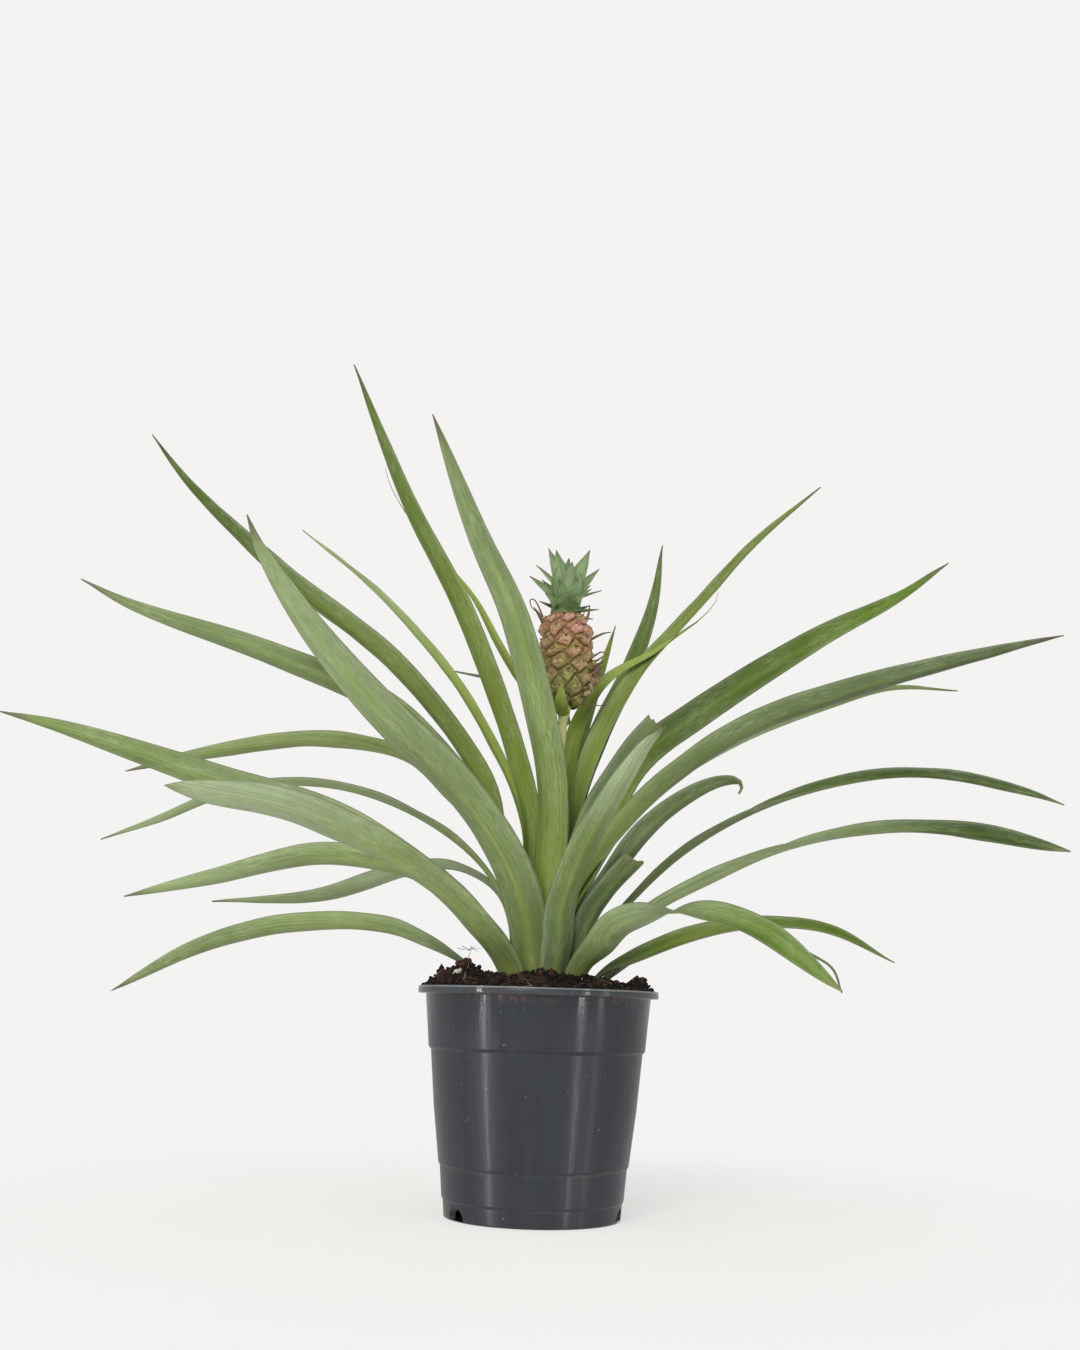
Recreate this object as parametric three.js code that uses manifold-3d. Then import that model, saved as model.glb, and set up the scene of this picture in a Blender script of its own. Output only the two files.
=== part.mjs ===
// A potted pineapple plant: a ribbed nursery pot filled with peat, and a rosette of long channelled
// leaves round a short stem that carries one small fruit with its crown.
// Millimetres, +Z up. The origin is on the pot's axis, in the plane that the pot stands on.
// The plant is seen from -Y: +X is its right side and +Y its back.

import * as THREE from "three";
import { mergeVertices } from "three/addons/utils/BufferGeometryUtils.js";
import Module from "manifold-3d";

// ---- Driving dimensions ----

const POT_TOP = 111;
const POT_SEGMENTS = 36;
const WALL = 1.2;
const RIM_RADIUS = 60;
const RIM_BAND = 3.6;
const RIM_ROUND = 0.6;
const COLLAR_TOP_RADIUS = 56.2;
const COLLAR_FOOT = 80.2;
const COLLAR_FOOT_RADIUS = 53.8;
const COLLAR_STEP = 1.2;
const BODY_BULGE = 0.4;
const LOWER_STEP_TOP = 24.7;
const LOWER_STEP_RADIUS = 46.8;
const LOWER_STEP = 0.7;
const BASE_STEP_TOP = 8.3;
const BASE_STEP_RADIUS = 44.7;
const BASE_STEP = 0.6;
const FOOT_RADIUS = 43.3;
const FOOT_WIDTH = 3;
const FLOOR_UNDERSIDE = 5;
const FLOOR_THICKNESS = 1.6;
const NOTCH_WIDTH = 13;
const NOTCH_HEIGHT = 6.8;
const NOTCH_REACH = 6;
const NOTCH_ANGLES = [-104, -57, 76, 123];

const FIT = 0.3;
const SOIL_SEGMENTS = 36;
const SOIL_HOLE_RADIUS = 27;
const SOIL_HOLE_FLOOR = 96;
const SOIL_RIM = 109;
const SOIL_CROWN = 119;
const SOIL_RINGS = 5;
const SOIL_CRUMBS = 1.3;
const SOIL_EDGE_SHARE = 0.75;
// Where the peat is heaped up: the place of each mound, its height and how far it spreads.
const SOIL_MOUNDS = [
  { at: [-37, -16], height: 9, spread: 9 },
  { at: [-50, -8], height: 7, spread: 8 },
  { at: [4, -33], height: 3.5, spread: 8 },
  { at: [51, -9], height: 8, spread: 7 },
  { at: [34, 24], height: 3, spread: 10 },
  { at: [-22, 36], height: 3, spread: 9 },
];

const STEM_FOOT = 97;
const STEM_RADIUS = 5.4;
const STALK_RADIUS = 2.3;
const STEM_SIDES = 8;
const STEM_STEPS = 12;
// The green bracts below the fruit: the direction of each in degrees from +X, how far its tip reaches
// from the stalk and how high it rises above the fruit's foot, and its width.
const STALK_BRACTS = [
  { direction: 250, reach: 17, rise: 14, width: 6 },
  { direction: 325, reach: 19, rise: 8, width: 4.5 },
  { direction: 170, reach: 18, rise: 7, width: 4.5 },
  { direction: 95, reach: 17.5, rise: 10, width: 5.5 },
];
const STALK_BRACT_STEPS = 4;

const ROOT_HEIGHT = 103;
const LEAF_STEPS = 14;
const LEAF_THICKNESS = 0.9;
const LEAF_TIP_WIDTH = 1.2;
const LEAF_CHANNEL = THREE.MathUtils.degToRad(22);
const LEAF_TIP_CHANNEL = THREE.MathUtils.degToRad(12);
const LEAF_TAPER = 3.4;
const LEAF_POINT = 0.85;
const CLEARANCE = 0.32;
const SMALLEST_SCRAP = 0.02;

const FRUIT_CENTRE = new THREE.Vector2(9.5, 4);
const FRUIT_FOOT = 255;
const FRUIT_HEIGHT = 50;
const FRUIT_RADIUS = 13.6;
const FRUIT_END_RATIO = 0.5;
const FRUIT_ROWS = 8;
const FRUIT_EYES = 6;
const FRUIT_TWIST = 0.25;
const EYE_RISE = 2.2;
const EYE_SHOULDER = 0.36;
const EYE_DIMPLE = 0.8;
const ROW_ZIGZAG = 0.38;
const BRACT_LENGTH = 5;
const BRACT_RADIUS = 1.1;
const LONG_BRACT = 2.2;
const LONG_BRACT_SHARE = 0.2;

const CROWN_HEIGHT = 36;
const CROWN_STUB_RADIUS = 5;
const CROWN_STUB_HEIGHT = 14;
const CROWN_SPREAD = 20;
const CROWN_TOP_SPREAD = 8;
const CROWN_LOW_TIP = 7.5;
const CROWN_WIDTHS = [7, 11];
const CROWN_FEET = [1, 8];
const CROWN_BLADES = 16;
const CROWN_STEPS = 3;
const CROWN_CHANNEL = 0.35;
const GOLDEN_ANGLE = THREE.MathUtils.degToRad(137.5);

// ---- Materials ----

function paint(color, roughness) {
  return new THREE.MeshStandardMaterial({ color, roughness, metalness: 0 });
}

const POT_PLASTIC = paint(0x4a4e53, 0.42);
const PEAT = paint(0x3a2a24, 0.95);
const LEAF_GREEN = paint(0x6d8c45, 0.5);
const STALK_GREEN = paint(0xc0c890, 0.55);
const FRUIT_SKIN = paint(0xb98a62, 0.6);
const CROWN_GREEN = paint(0x7d9b78, 0.55);

// ---- Leaves, from the innermost at the stem to the outermost at the soil ----
// root: the direction in degrees from +X, and the distance from the stem's axis, where the leaf is rooted
// turn: how far the blade is rolled about its own length, in degrees, at a third, at two thirds and
// at its end
// spine: the middle line of the blade, point by point from above the root to the tip
// whole: the share of the leaf that is left where its end is cut off

const LEAVES = [
  { name: "leaf_upright_1", width: 18, root: [245, 7.2], turn: [15, 25, 30],
    spine: [[2, -9, 155], [5, -14, 183], [4, -21, 213], [-1, -27, 238],
      [-17, -38, 292], [-36, -47, 330], [-60, -60, 386]] },
  { name: "leaf_upright_2", width: 13, root: [15, 7.4], turn: [20, 20, 0],
    spine: [[8, 3, 150], [12, 7, 192], [15, 13, 226], [21, 20, 254],
      [32, 28, 276], [58, 37, 295], [80, 42, 312]] },
  { name: "leaf_upright_3", width: 13, root: [130, 7.6], turn: [-20, -30, -30],
    spine: [[-2, 6, 150], [0, 9, 190], [-7, 16, 238], [-16, 24, 268],
      [-41, 38, 321], [-63, 45, 349]] },
  { name: "leaf_upright_4", width: 12, root: [78, 9.2], turn: [10, 20, 20],
    spine: [[4, 10, 150], [12, 17, 209], [22, 28, 257], [30, 34, 286], [36, 39, 309]] },
  { name: "leaf_upright_5", width: 14, root: [345, 10.2], turn: [25, 35, 20],
    spine: [[11, 2, 150], [19, 7, 198], [31, 14, 241], [51, 21, 277],
      [79, 31, 318], [113, 44, 359], [151, 58, 398]] },
  { name: "leaf_upright_6", width: 15, root: [200, 10.8], turn: [-40, -60, -60],
    spine: [[-7, -3, 150], [-7, -5, 190], [-14, -7, 221], [-43, -11, 300],
      [-73, -15, 356], [-105, -20, 428]] },
  { name: "leaf_upright_7", width: 14, root: [48, 11], turn: [10, 25, 20],
    spine: [[9, 9, 150], [15, 15, 198], [28, 29, 246], [43, 41, 282],
      [56, 54, 323], [63, 67, 364]] },
  { name: "leaf_left_1", width: 10, root: [150, 11], turn: [-20, -20, 0],
    spine: [[-7, 7, 150], [-10, 14, 196], [-28, 34, 243], [-53, 52, 283],
      [-96, 78, 335], [-148, 105, 379]] },
  { name: "leaf_back_1", width: 17, root: [95, 11.8], turn: [0, 0, 0],
    spine: [[2, 19, 145], [6, 42, 192], [10, 80, 222], [12, 118, 226], [14, 150, 208]] },
  { name: "leaf_left_2", width: 18, root: [180, 12.8], turn: [-30, -35, -10],
    spine: [[-11, 2, 150], [-18, 7, 190], [-34, 14, 218], [-80, 26, 280],
      [-146, 38, 334], [-202, 47, 385], [-226, 50, 414]] },
  { name: "leaf_right_1", width: 19, root: [18, 13], turn: [25, 40, 20],
    spine: [[13, 4, 148], [22, 9, 172], [50, 26, 224], [81, 42, 261],
      [149, 65, 311], [201, 81, 342], [232, 90, 366]] },
  { name: "leaf_left_3", width: 21, root: [262, 14.6], turn: [5, 15, 15],
    spine: [[-6, -19, 139], [-13, -25, 167], [-39, -37, 201], [-72, -50, 230],
      [-111, -66, 275], [-135, -81, 311], [-142, -86, 324]] },
  { name: "leaf_right_2", width: 17, root: [300, 14], turn: [0, -10, -10], whole: 0.6,
    spine: [[10, -14, 140], [14, -20, 159], [26, -33, 197], [42, -43, 225], [54, -47, 240]] },
  { name: "leaf_right_3", width: 19, root: [0, 15.2], turn: [-10, -15, -10],
    spine: [[15, -1, 153], [34, 0, 192], [63, 3, 225], [106, 7, 250],
      [158, 10, 270], [217, 12, 288], [272, 15, 305]] },
  { name: "leaf_left_4", width: 17, root: [212, 14.4], turn: [30, 45, 30],
    spine: [[-15, -7, 145], [-32, -14, 191], [-52, -22, 219], [-83, -28, 244],
      [-139, -38, 269], [-204, -47, 291], [-228, -50, 301]] },
  { name: "leaf_left_5", width: 15, root: [150, 14.6], turn: [10, 15, 10],
    spine: [[-14, 9, 140], [-27, 18, 182], [-50, 32, 209], [-76, 47, 234],
      [-127, 70, 246], [-198, 91, 238], [-242, 100, 230]] },
  { name: "leaf_right_4", width: 15, root: [36, 14.3], turn: [-10, -20, -10],
    spine: [[22, 9, 157], [39, 15, 190], [63, 22, 217], [106, 31, 246],
      [153, 37, 267], [188, 41, 279], [224, 45, 280]] },
  { name: "leaf_right_5", width: 15, root: [318, 16.4], turn: [-15, -30, -40], whole: 0.72,
    spine: [[20, -14, 138], [32, -26, 165], [49, -38, 188], [70, -50, 206],
      [84, -56, 211], [94, -60, 208]] },
  { name: "leaf_back_2", width: 16, root: [75, 15.4], turn: [0, 0, 0],
    spine: [[8, 27, 138], [14, 55, 170], [20, 100, 190], [22, 136, 176], [22, 150, 164]] },
  { name: "leaf_left_6", width: 12, root: [170, 16.4], turn: [0, 5, 5],
    spine: [[-19, 5, 145], [-32, 10, 172], [-65, 23, 200], [-111, 37, 218],
      [-162, 49, 215], [-213, 58, 197], [-242, 61, 186]] },
  { name: "leaf_left_7", width: 18, root: [194, 17.4], turn: [25, 40, 30],
    spine: [[-25, -5, 137], [-43, -8, 153], [-63, -10, 168], [-102, -12, 193],
      [-160, -17, 213], [-242, -23, 233], [-271, -26, 239]] },
  { name: "leaf_right_6", width: 14, root: [5, 18.2], turn: [0, 5, 5],
    spine: [[27, 3, 136], [42, 4, 152], [73, 6, 181], [113, 5, 206],
      [163, 3, 225], [204, 1, 227], [248, 0, 217], [265, -1, 212]] },
  { name: "leaf_right_7", width: 14, root: [330, 21], turn: [-10, -15, -20], whole: 0.55,
    spine: [[24, -21, 146], [30, -28, 156], [38, -35, 166], [45, -41, 174]] },
  { name: "leaf_front_1", width: 17, root: [287, 20.2], turn: [0, 0, 0],
    spine: [[9, -26, 134], [10, -34, 149], [19, -56, 175], [30, -82, 195],
      [43, -118, 215], [50, -136, 221]] },
  { name: "leaf_left_8", width: 16, root: [180, 19.4], turn: [25, 35, 30],
    spine: [[-24, -1, 133], [-35, -4, 144], [-57, -9, 157], [-81, -14, 167],
      [-111, -20, 171], [-160, -26, 161], [-202, -31, 149]] },
  { name: "leaf_right_8", width: 16, root: [350, 20.4], turn: [-20, -10, 35],
    spine: [[30, -5, 129], [54, -11, 150], [82, -16, 166], [123, -21, 183],
      [172, -25, 195], [219, -27, 192], [258, -28, 185]] },
  { name: "leaf_left_9", width: 15, root: [158, 20], turn: [20, 25, 20],
    spine: [[-22, 10, 143], [-30, 18, 161], [-47, 27, 172], [-74, 36, 170],
      [-120, 50, 157], [-179, 61, 154]] },
  { name: "leaf_back_3", width: 16, root: [98, 20], turn: [0, 0, 0],
    spine: [[-4, 32, 128], [-6, 60, 145], [-8, 100, 150], [-8, 130, 134], [-8, 150, 116]] },
  { name: "leaf_front_2", width: 20, root: [236, 22.6], turn: [10, 35, 45],
    spine: [[-17, -22, 123], [-30, -37, 138], [-46, -55, 153], [-72, -82, 169],
      [-110, -114, 183], [-143, -142, 186], [-156, -150, 187]] },
  { name: "leaf_front_3", width: 17, root: [320, 22.8], turn: [-40, 20, 45],
    spine: [[20, -19, 121], [28, -30, 130], [37, -46, 139], [56, -74, 147],
      [78, -98, 146], [98, -112, 135], [127, -124, 112]] },
  { name: "leaf_right_9", width: 16, root: [352, 23.6], turn: [20, 20, 10],
    spine: [[33, -4, 120], [45, -8, 128], [75, -16, 139], [107, -24, 148],
      [138, -33, 143], [169, -40, 128]] },
  { name: "leaf_right_10", width: 14, root: [14, 23], turn: [0, 10, 10],
    spine: [[40, 6, 121], [51, 8, 127], [72, 13, 137], [96, 18, 142],
      [130, 24, 140], [152, 28, 127], [158, 29, 114]] },
  { name: "leaf_left_10", width: 16, root: [170, 23.6], turn: [25, 30, 20],
    spine: [[-35, 7, 121], [-60, 17, 133], [-81, 23, 139], [-130, 32, 141],
      [-179, 37, 128], [-225, 41, 104]] },
];

// ---- Solids and cuts ----

const wasm = await Module();
wasm.setup();

// A closed geometry, with its shared corners joined, as a solid that can be cut and joined.
function solidOf(geometry) {
  const bare = geometry.clone();
  bare.deleteAttribute("normal");
  bare.deleteAttribute("uv");
  const { attributes, index } = mergeVertices(bare, 1e-4);
  return new wasm.Manifold(
    new wasm.Mesh({
      numProp: 3,
      vertProperties: new Float32Array(attributes.position.array),
      triVerts: new Uint32Array(index.array),
    }),
  );
}

function geometryOf(solid) {
  const { vertProperties, triVerts } = solid.getMesh();
  const geometry = new THREE.BufferGeometry();
  geometry.setAttribute("position", new THREE.BufferAttribute(vertProperties, 3));
  geometry.setIndex(new THREE.BufferAttribute(triVerts, 1));
  return geometry;
}

function meshOf(name, solid, material) {
  const mesh = new THREE.Mesh(geometryOf(solid), material);
  mesh.name = name;
  return mesh;
}

// The largest body of a solid: a cut can leave loose scraps beside it.
function mainBody(solid) {
  const bodies = solid.simplify(SMALLEST_SCRAP).decompose();
  return bodies.reduce((best, body) => (body.volume() > best.volume() ? body : best));
}

// ---- Blades: leaves, crown blades and bracts ----

// The frame that a blade follows: its tangent, the direction across it and the direction that its top faces.
function bladeFrame(tangent, across, roll) {
  const side = across.clone().addScaledVector(tangent, -across.dot(tangent)).normalize();
  side.applyAxisAngle(tangent, roll);
  return { side, top: new THREE.Vector3().crossVectors(tangent, side) };
}

// One station of a channelled blade: three points on its top and three below them, a thickness apart.
function bladeStation(centre, frame, width, channel, thickness, margin) {
  const top = [];
  const bottom = [];
  for (const u of [-1, 0, 1]) {
    const half = width / 2 + margin;
    const out = u * half * Math.cos(channel);
    const rise = Math.abs(u) * half * Math.sin(channel);
    const point = centre.clone().addScaledVector(frame.side, out).addScaledVector(frame.top, rise);
    const lean = u === 0 ? 0 : -u * Math.sin(channel);
    const stretch = u === 0 ? 1 / Math.cos(channel) : 1;
    const facing = frame.top.clone().multiplyScalar(u === 0 ? stretch : Math.cos(channel));
    facing.addScaledVector(frame.side, lean);
    top.push(point.clone().addScaledVector(facing, margin));
    bottom.push(point.clone().addScaledVector(facing, -thickness - margin));
  }
  return [...top, ...bottom];
}

// Joins the stations into one closed skin, with its quads split alike above and below.
function bladeGeometry(stations) {
  const positions = stations.flat().flatMap((p) => p.toArray());
  const columns = stations[0].length / 2;
  const above = (i, k) => i * 2 * columns + k;
  const below = (i, k) => above(i, k) + columns;
  const faces = [];
  const quad = (a, b, c, d) => faces.push(a, b, c, a, c, d);
  const last = stations.length - 1;
  for (let i = 0; i < last; i++) {
    for (let k = 0; k < columns - 1; k++) {
      faces.push(above(i, k), above(i + 1, k + 1), above(i, k + 1));
      faces.push(above(i, k), above(i + 1, k), above(i + 1, k + 1));
      faces.push(below(i, k), below(i, k + 1), below(i + 1, k + 1));
      faces.push(below(i, k), below(i + 1, k + 1), below(i + 1, k));
    }
    quad(above(i, 0), below(i, 0), below(i + 1, 0), above(i + 1, 0));
    const edge = columns - 1;
    quad(above(i, edge), above(i + 1, edge), below(i + 1, edge), below(i, edge));
  }
  for (let k = 0; k < columns - 1; k++) {
    quad(above(0, k), above(0, k + 1), below(0, k + 1), below(0, k));
    quad(above(last, k), below(last, k), below(last, k + 1), above(last, k + 1));
  }
  const geometry = new THREE.BufferGeometry();
  geometry.setAttribute("position", new THREE.Float32BufferAttribute(positions, 3));
  geometry.setIndex(faces);
  return geometry;
}

// A value that runs smoothly through its stops, which are spread evenly from the start to the end.
function throughStops(stops, s) {
  const x = s * (stops.length - 1);
  const i = Math.min(Math.floor(x), stops.length - 2);
  return THREE.MathUtils.lerp(stops[i], stops[i + 1], THREE.MathUtils.smoothstep(x - i, 0, 1));
}

function leafGeometry(leaf, margin) {
  const [degrees, radius] = leaf.root;
  const angle = THREE.MathUtils.degToRad(degrees);
  const root = new THREE.Vector3(radius * Math.cos(angle), radius * Math.sin(angle), ROOT_HEIGHT);
  const points = [root, ...leaf.spine.map((p) => new THREE.Vector3(...p))];
  const curve = new THREE.CatmullRomCurve3(points, false, "centripetal");
  const heading = points.at(-1).clone().sub(root).setZ(0).normalize();
  const rootAcross = new THREE.Vector3(-Math.sin(angle), Math.cos(angle), 0);
  const bladeAcross = new THREE.Vector3(-heading.y, heading.x, 0);
  const rootChannel = Math.min(leaf.width / radius / 4, 0.75);
  const whole = leaf.whole ?? 1;
  const stations = [];
  for (let i = 0; i <= LEAF_STEPS; i++) {
    const s = i / LEAF_STEPS;
    const tangent = curve.getTangentAt(s);
    const across = rootAcross.clone().lerp(bladeAcross, THREE.MathUtils.smoothstep(s, 0, 0.35));
    const roll = THREE.MathUtils.degToRad(throughStops([0, ...leaf.turn], s));
    const taper = Math.pow(1 - Math.pow(s * whole, LEAF_TAPER), LEAF_POINT);
    const width = Math.max(leaf.width * taper, LEAF_TIP_WIDTH);
    const channel = throughStops([rootChannel, LEAF_CHANNEL, LEAF_CHANNEL, LEAF_TIP_CHANNEL], s);
    const frame = bladeFrame(tangent, across, roll);
    stations.push(bladeStation(curve.getPointAt(s), frame, width, channel, LEAF_THICKNESS, margin));
  }
  return bladeGeometry(stations);
}

// Each leaf in turn, cut clear of the stem and of the leaves inside it where their bases clasp.
function makeLeaves(stemWithRoom) {
  const taken = [stemWithRoom];
  return LEAVES.map((leaf) => {
    let body = solidOf(leafGeometry(leaf, 0));
    for (const other of taken) body = body.subtract(other);
    taken.push(solidOf(leafGeometry(leaf, CLEARANCE)));
    return meshOf(leaf.name, mainBody(body), LEAF_GREEN);
  });
}

// ---- Stem and stalk ----

function stemGeometry(margin) {
  const [x, y] = FRUIT_CENTRE.toArray();
  const curve = new THREE.CatmullRomCurve3([
    new THREE.Vector3(0, 0, STEM_FOOT),
    new THREE.Vector3(1, 0.5, 140),
    new THREE.Vector3(x * 0.6, y * 0.75, 212),
    new THREE.Vector3(x, y, FRUIT_FOOT - FIT),
  ]);
  const positions = [];
  const faces = [];
  for (let i = 0; i <= STEM_STEPS; i++) {
    const s = i / STEM_STEPS;
    const centre = curve.getPointAt(s);
    const narrowed = THREE.MathUtils.smoothstep(s, 0.1, 0.5);
    const radius = margin + THREE.MathUtils.lerp(STEM_RADIUS, STALK_RADIUS, narrowed);
    for (let k = 0; k < STEM_SIDES; k++) {
      const angle = (k / STEM_SIDES) * 2 * Math.PI;
      positions.push(centre.x + radius * Math.cos(angle), centre.y + radius * Math.sin(angle), centre.z);
    }
  }
  for (let i = 0; i < STEM_STEPS; i++) {
    for (let k = 0; k < STEM_SIDES; k++) {
      const low = i * STEM_SIDES + k;
      const nextLow = i * STEM_SIDES + ((k + 1) % STEM_SIDES);
      faces.push(low, nextLow, nextLow + STEM_SIDES);
      faces.push(low, nextLow + STEM_SIDES, low + STEM_SIDES);
    }
  }
  const head = STEM_STEPS * STEM_SIDES;
  for (let k = 1; k < STEM_SIDES - 1; k++) {
    faces.push(0, k + 1, k);
    faces.push(head, head + k, head + k + 1);
  }
  const geometry = new THREE.BufferGeometry();
  geometry.setAttribute("position", new THREE.Float32BufferAttribute(positions, 3));
  geometry.setIndex(faces);
  return geometry;
}

// A green bract that leaves the stalk below the fruit and curves up round it.
function stalkBractGeometry({ direction, reach, rise, width }, margin) {
  const angle = THREE.MathUtils.degToRad(direction);
  const [x, y] = FRUIT_CENTRE.toArray();
  const place = (out, up) =>
    new THREE.Vector3(x + out * Math.cos(angle), y + out * Math.sin(angle), FRUIT_FOOT + up);
  const across = new THREE.Vector3(-Math.sin(angle), Math.cos(angle), 0);
  const path = [place(1, -8), place(reach / 2, -3), place(reach * 0.85, rise * 0.25), place(reach, rise)];
  const curve = new THREE.CatmullRomCurve3(path);
  const stations = [];
  for (let i = 0; i <= STALK_BRACT_STEPS; i++) {
    const s = i / STALK_BRACT_STEPS;
    const frame = bladeFrame(curve.getTangentAt(s), across, 0);
    const breadth = Math.max(width * Math.sqrt(1 - s * s * s), LEAF_TIP_WIDTH);
    stations.push(bladeStation(curve.getPointAt(s), frame, breadth, LEAF_CHANNEL, LEAF_THICKNESS, margin));
  }
  return bladeGeometry(stations);
}

function makeStem() {
  const join = (stem, bract) => stem.add(solidOf(stalkBractGeometry(bract, 0)));
  return meshOf("stem", mainBody(STALK_BRACTS.reduce(join, solidOf(stemGeometry(0)))), STALK_GREEN);
}

// ---- Pot ----

// A profile of [radius, height] points turned about the vertical axis.
function turned(profile, segments) {
  const outline = profile.map(([radius, height]) => new THREE.Vector2(radius, height));
  return new THREE.LatheGeometry(outline, segments).rotateX(Math.PI / 2);
}

// The outer wall from the foot to under the rim, drawn in by an inset for the wall's inside.
function wallProfile(inset) {
  const bodyTopRadius = COLLAR_FOOT_RADIUS - COLLAR_STEP;
  const bodyMiddle = (LOWER_STEP_TOP + COLLAR_FOOT) / 2;
  const bodyMiddleRadius = (LOWER_STEP_RADIUS + bodyTopRadius) / 2 + BODY_BULGE;
  return [
    [BASE_STEP_RADIUS - BASE_STEP, BASE_STEP_TOP],
    [BASE_STEP_RADIUS, BASE_STEP_TOP + BASE_STEP],
    [LOWER_STEP_RADIUS - LOWER_STEP, LOWER_STEP_TOP],
    [LOWER_STEP_RADIUS, LOWER_STEP_TOP + LOWER_STEP],
    [bodyMiddleRadius, bodyMiddle],
    [bodyTopRadius, COLLAR_FOOT],
    [COLLAR_FOOT_RADIUS, COLLAR_FOOT + COLLAR_STEP],
    [COLLAR_TOP_RADIUS, POT_TOP - RIM_BAND],
  ].map(([radius, height]) => [radius - inset, height]);
}

function potGeometry() {
  const footInside = FOOT_RADIUS - FOOT_WIDTH;
  const floorTop = FLOOR_UNDERSIDE + FLOOR_THICKNESS;
  const rimFoot = POT_TOP - RIM_BAND;
  return turned([
    [0, FLOOR_UNDERSIDE],
    [footInside, FLOOR_UNDERSIDE],
    [footInside, 0],
    [FOOT_RADIUS, 0],
    ...wallProfile(0),
    [RIM_RADIUS - RIM_ROUND, rimFoot],
    [RIM_RADIUS, rimFoot + RIM_ROUND],
    [RIM_RADIUS, POT_TOP - RIM_ROUND],
    [RIM_RADIUS - RIM_ROUND, POT_TOP],
    [COLLAR_TOP_RADIUS - WALL, POT_TOP],
    ...wallProfile(WALL).reverse(),
    [FOOT_RADIUS - WALL, floorTop],
    [0, floorTop],
  ], POT_SEGMENTS);
}

// The arched drain notch through the foot, turned to its place round the pot from the front.
function notchGeometry(degrees) {
  const arch = new THREE.Shape();
  arch.moveTo(-NOTCH_WIDTH / 2, -1);
  arch.lineTo(NOTCH_WIDTH / 2, -1);
  arch.absellipse(0, 0, NOTCH_WIDTH / 2, NOTCH_HEIGHT, 0, Math.PI, false, 0);
  const outside = BASE_STEP_RADIUS + 1;
  const depth = outside - FOOT_RADIUS + NOTCH_REACH;
  return new THREE.ExtrudeGeometry(arch, { depth, bevelEnabled: false, curveSegments: 5 })
    .translate(0, 0, outside - depth)
    .rotateX(Math.PI / 2)
    .rotateZ(THREE.MathUtils.degToRad(degrees));
}

function makePot() {
  const cut = (pot, degrees) => pot.subtract(solidOf(notchGeometry(degrees)));
  return meshOf("pot", NOTCH_ANGLES.reduce(cut, solidOf(potGeometry())), POT_PLASTIC);
}

// ---- Peat ----

// A repeatable stand-in for chance, from 0 to 1.
function seeded(seed) {
  let state = seed;
  return () => {
    state = (state * 1664525 + 1013904223) % 4294967296;
    return state / 4294967296;
  };
}

function moundHeight(x, y) {
  const each = SOIL_MOUNDS.map(({ at, height, spread }) => {
    const away = Math.hypot(x - at[0], y - at[1]) / spread;
    return height * Math.exp(-away * away);
  });
  return each.reduce((sum, height) => sum + height, 0);
}

function soilGeometry() {
  const outerRadius = COLLAR_TOP_RADIUS - WALL - FIT;
  const surface = [];
  for (let i = 0; i <= SOIL_RINGS; i++) {
    const t = i / SOIL_RINGS;
    const radius = THREE.MathUtils.lerp(SOIL_HOLE_RADIUS, outerRadius, t);
    surface.push([radius, THREE.MathUtils.lerp(SOIL_CROWN, SOIL_RIM, t * t)]);
  }
  const floor = FLOOR_UNDERSIDE + FLOOR_THICKNESS + FIT;
  const geometry = turned([
    [0, floor],
    [FOOT_RADIUS - WALL - FIT, floor],
    ...wallProfile(WALL + FIT),
    ...surface.reverse(),
    [SOIL_HOLE_RADIUS, SOIL_HOLE_FLOOR],
    [0, SOIL_HOLE_FLOOR],
  ], SOIL_SEGMENTS);
  const random = seeded(7);
  const crumbsOfTurn = () => surface.map(() => random() * SOIL_CRUMBS);
  const crumbs = Array.from({ length: SOIL_SEGMENTS }, crumbsOfTurn);
  const position = geometry.getAttribute("position");
  const perTurn = position.count / (SOIL_SEGMENTS + 1);
  const firstOfSurface = perTurn - 2 - surface.length;
  for (let i = 0; i < position.count; i++) {
    const ring = (i % perTurn) - firstOfSurface;
    if (ring < 0 || ring >= surface.length) continue;
    const turn = Math.floor(i / perTurn) % SOIL_SEGMENTS;
    const [x, y] = [position.getX(i), position.getY(i)];
    const edge = ring === 0 ? SOIL_EDGE_SHARE : 1;
    position.setZ(i, position.getZ(i) + edge * moundHeight(x, y) + crumbs[turn][ring]);
  }
  return geometry;
}

// ---- Fruit ----

// A point on the fruit: round it, up it, and lifted off its grooves.
function fruitPoint(angle, height, lift) {
  const level = THREE.MathUtils.clamp(height, 0, FRUIT_HEIGHT);
  const fromMiddle = (2 * level) / FRUIT_HEIGHT - 1;
  const narrowing = 1 - (1 - FRUIT_END_RATIO * FRUIT_END_RATIO) * fromMiddle * fromMiddle;
  const radius = FRUIT_RADIUS * Math.sqrt(narrowing) + lift;
  const [x, y] = FRUIT_CENTRE.toArray();
  return new THREE.Vector3(x + radius * Math.cos(angle), y + radius * Math.sin(angle), FRUIT_FOOT + level);
}

// The corners of the fruit's grooves: zigzag rings, so that the eyes between them interlock.
function grooveCorner(row, corner) {
  const pitch = FRUIT_HEIGHT / FRUIT_ROWS;
  const down = (corner + row) % 2 === 0;
  return {
    angle: ((corner + row * FRUIT_TWIST) * Math.PI) / FRUIT_EYES,
    height: pitch * (row + (down ? -ROW_ZIGZAG : ROW_ZIGZAG)),
  };
}

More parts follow.
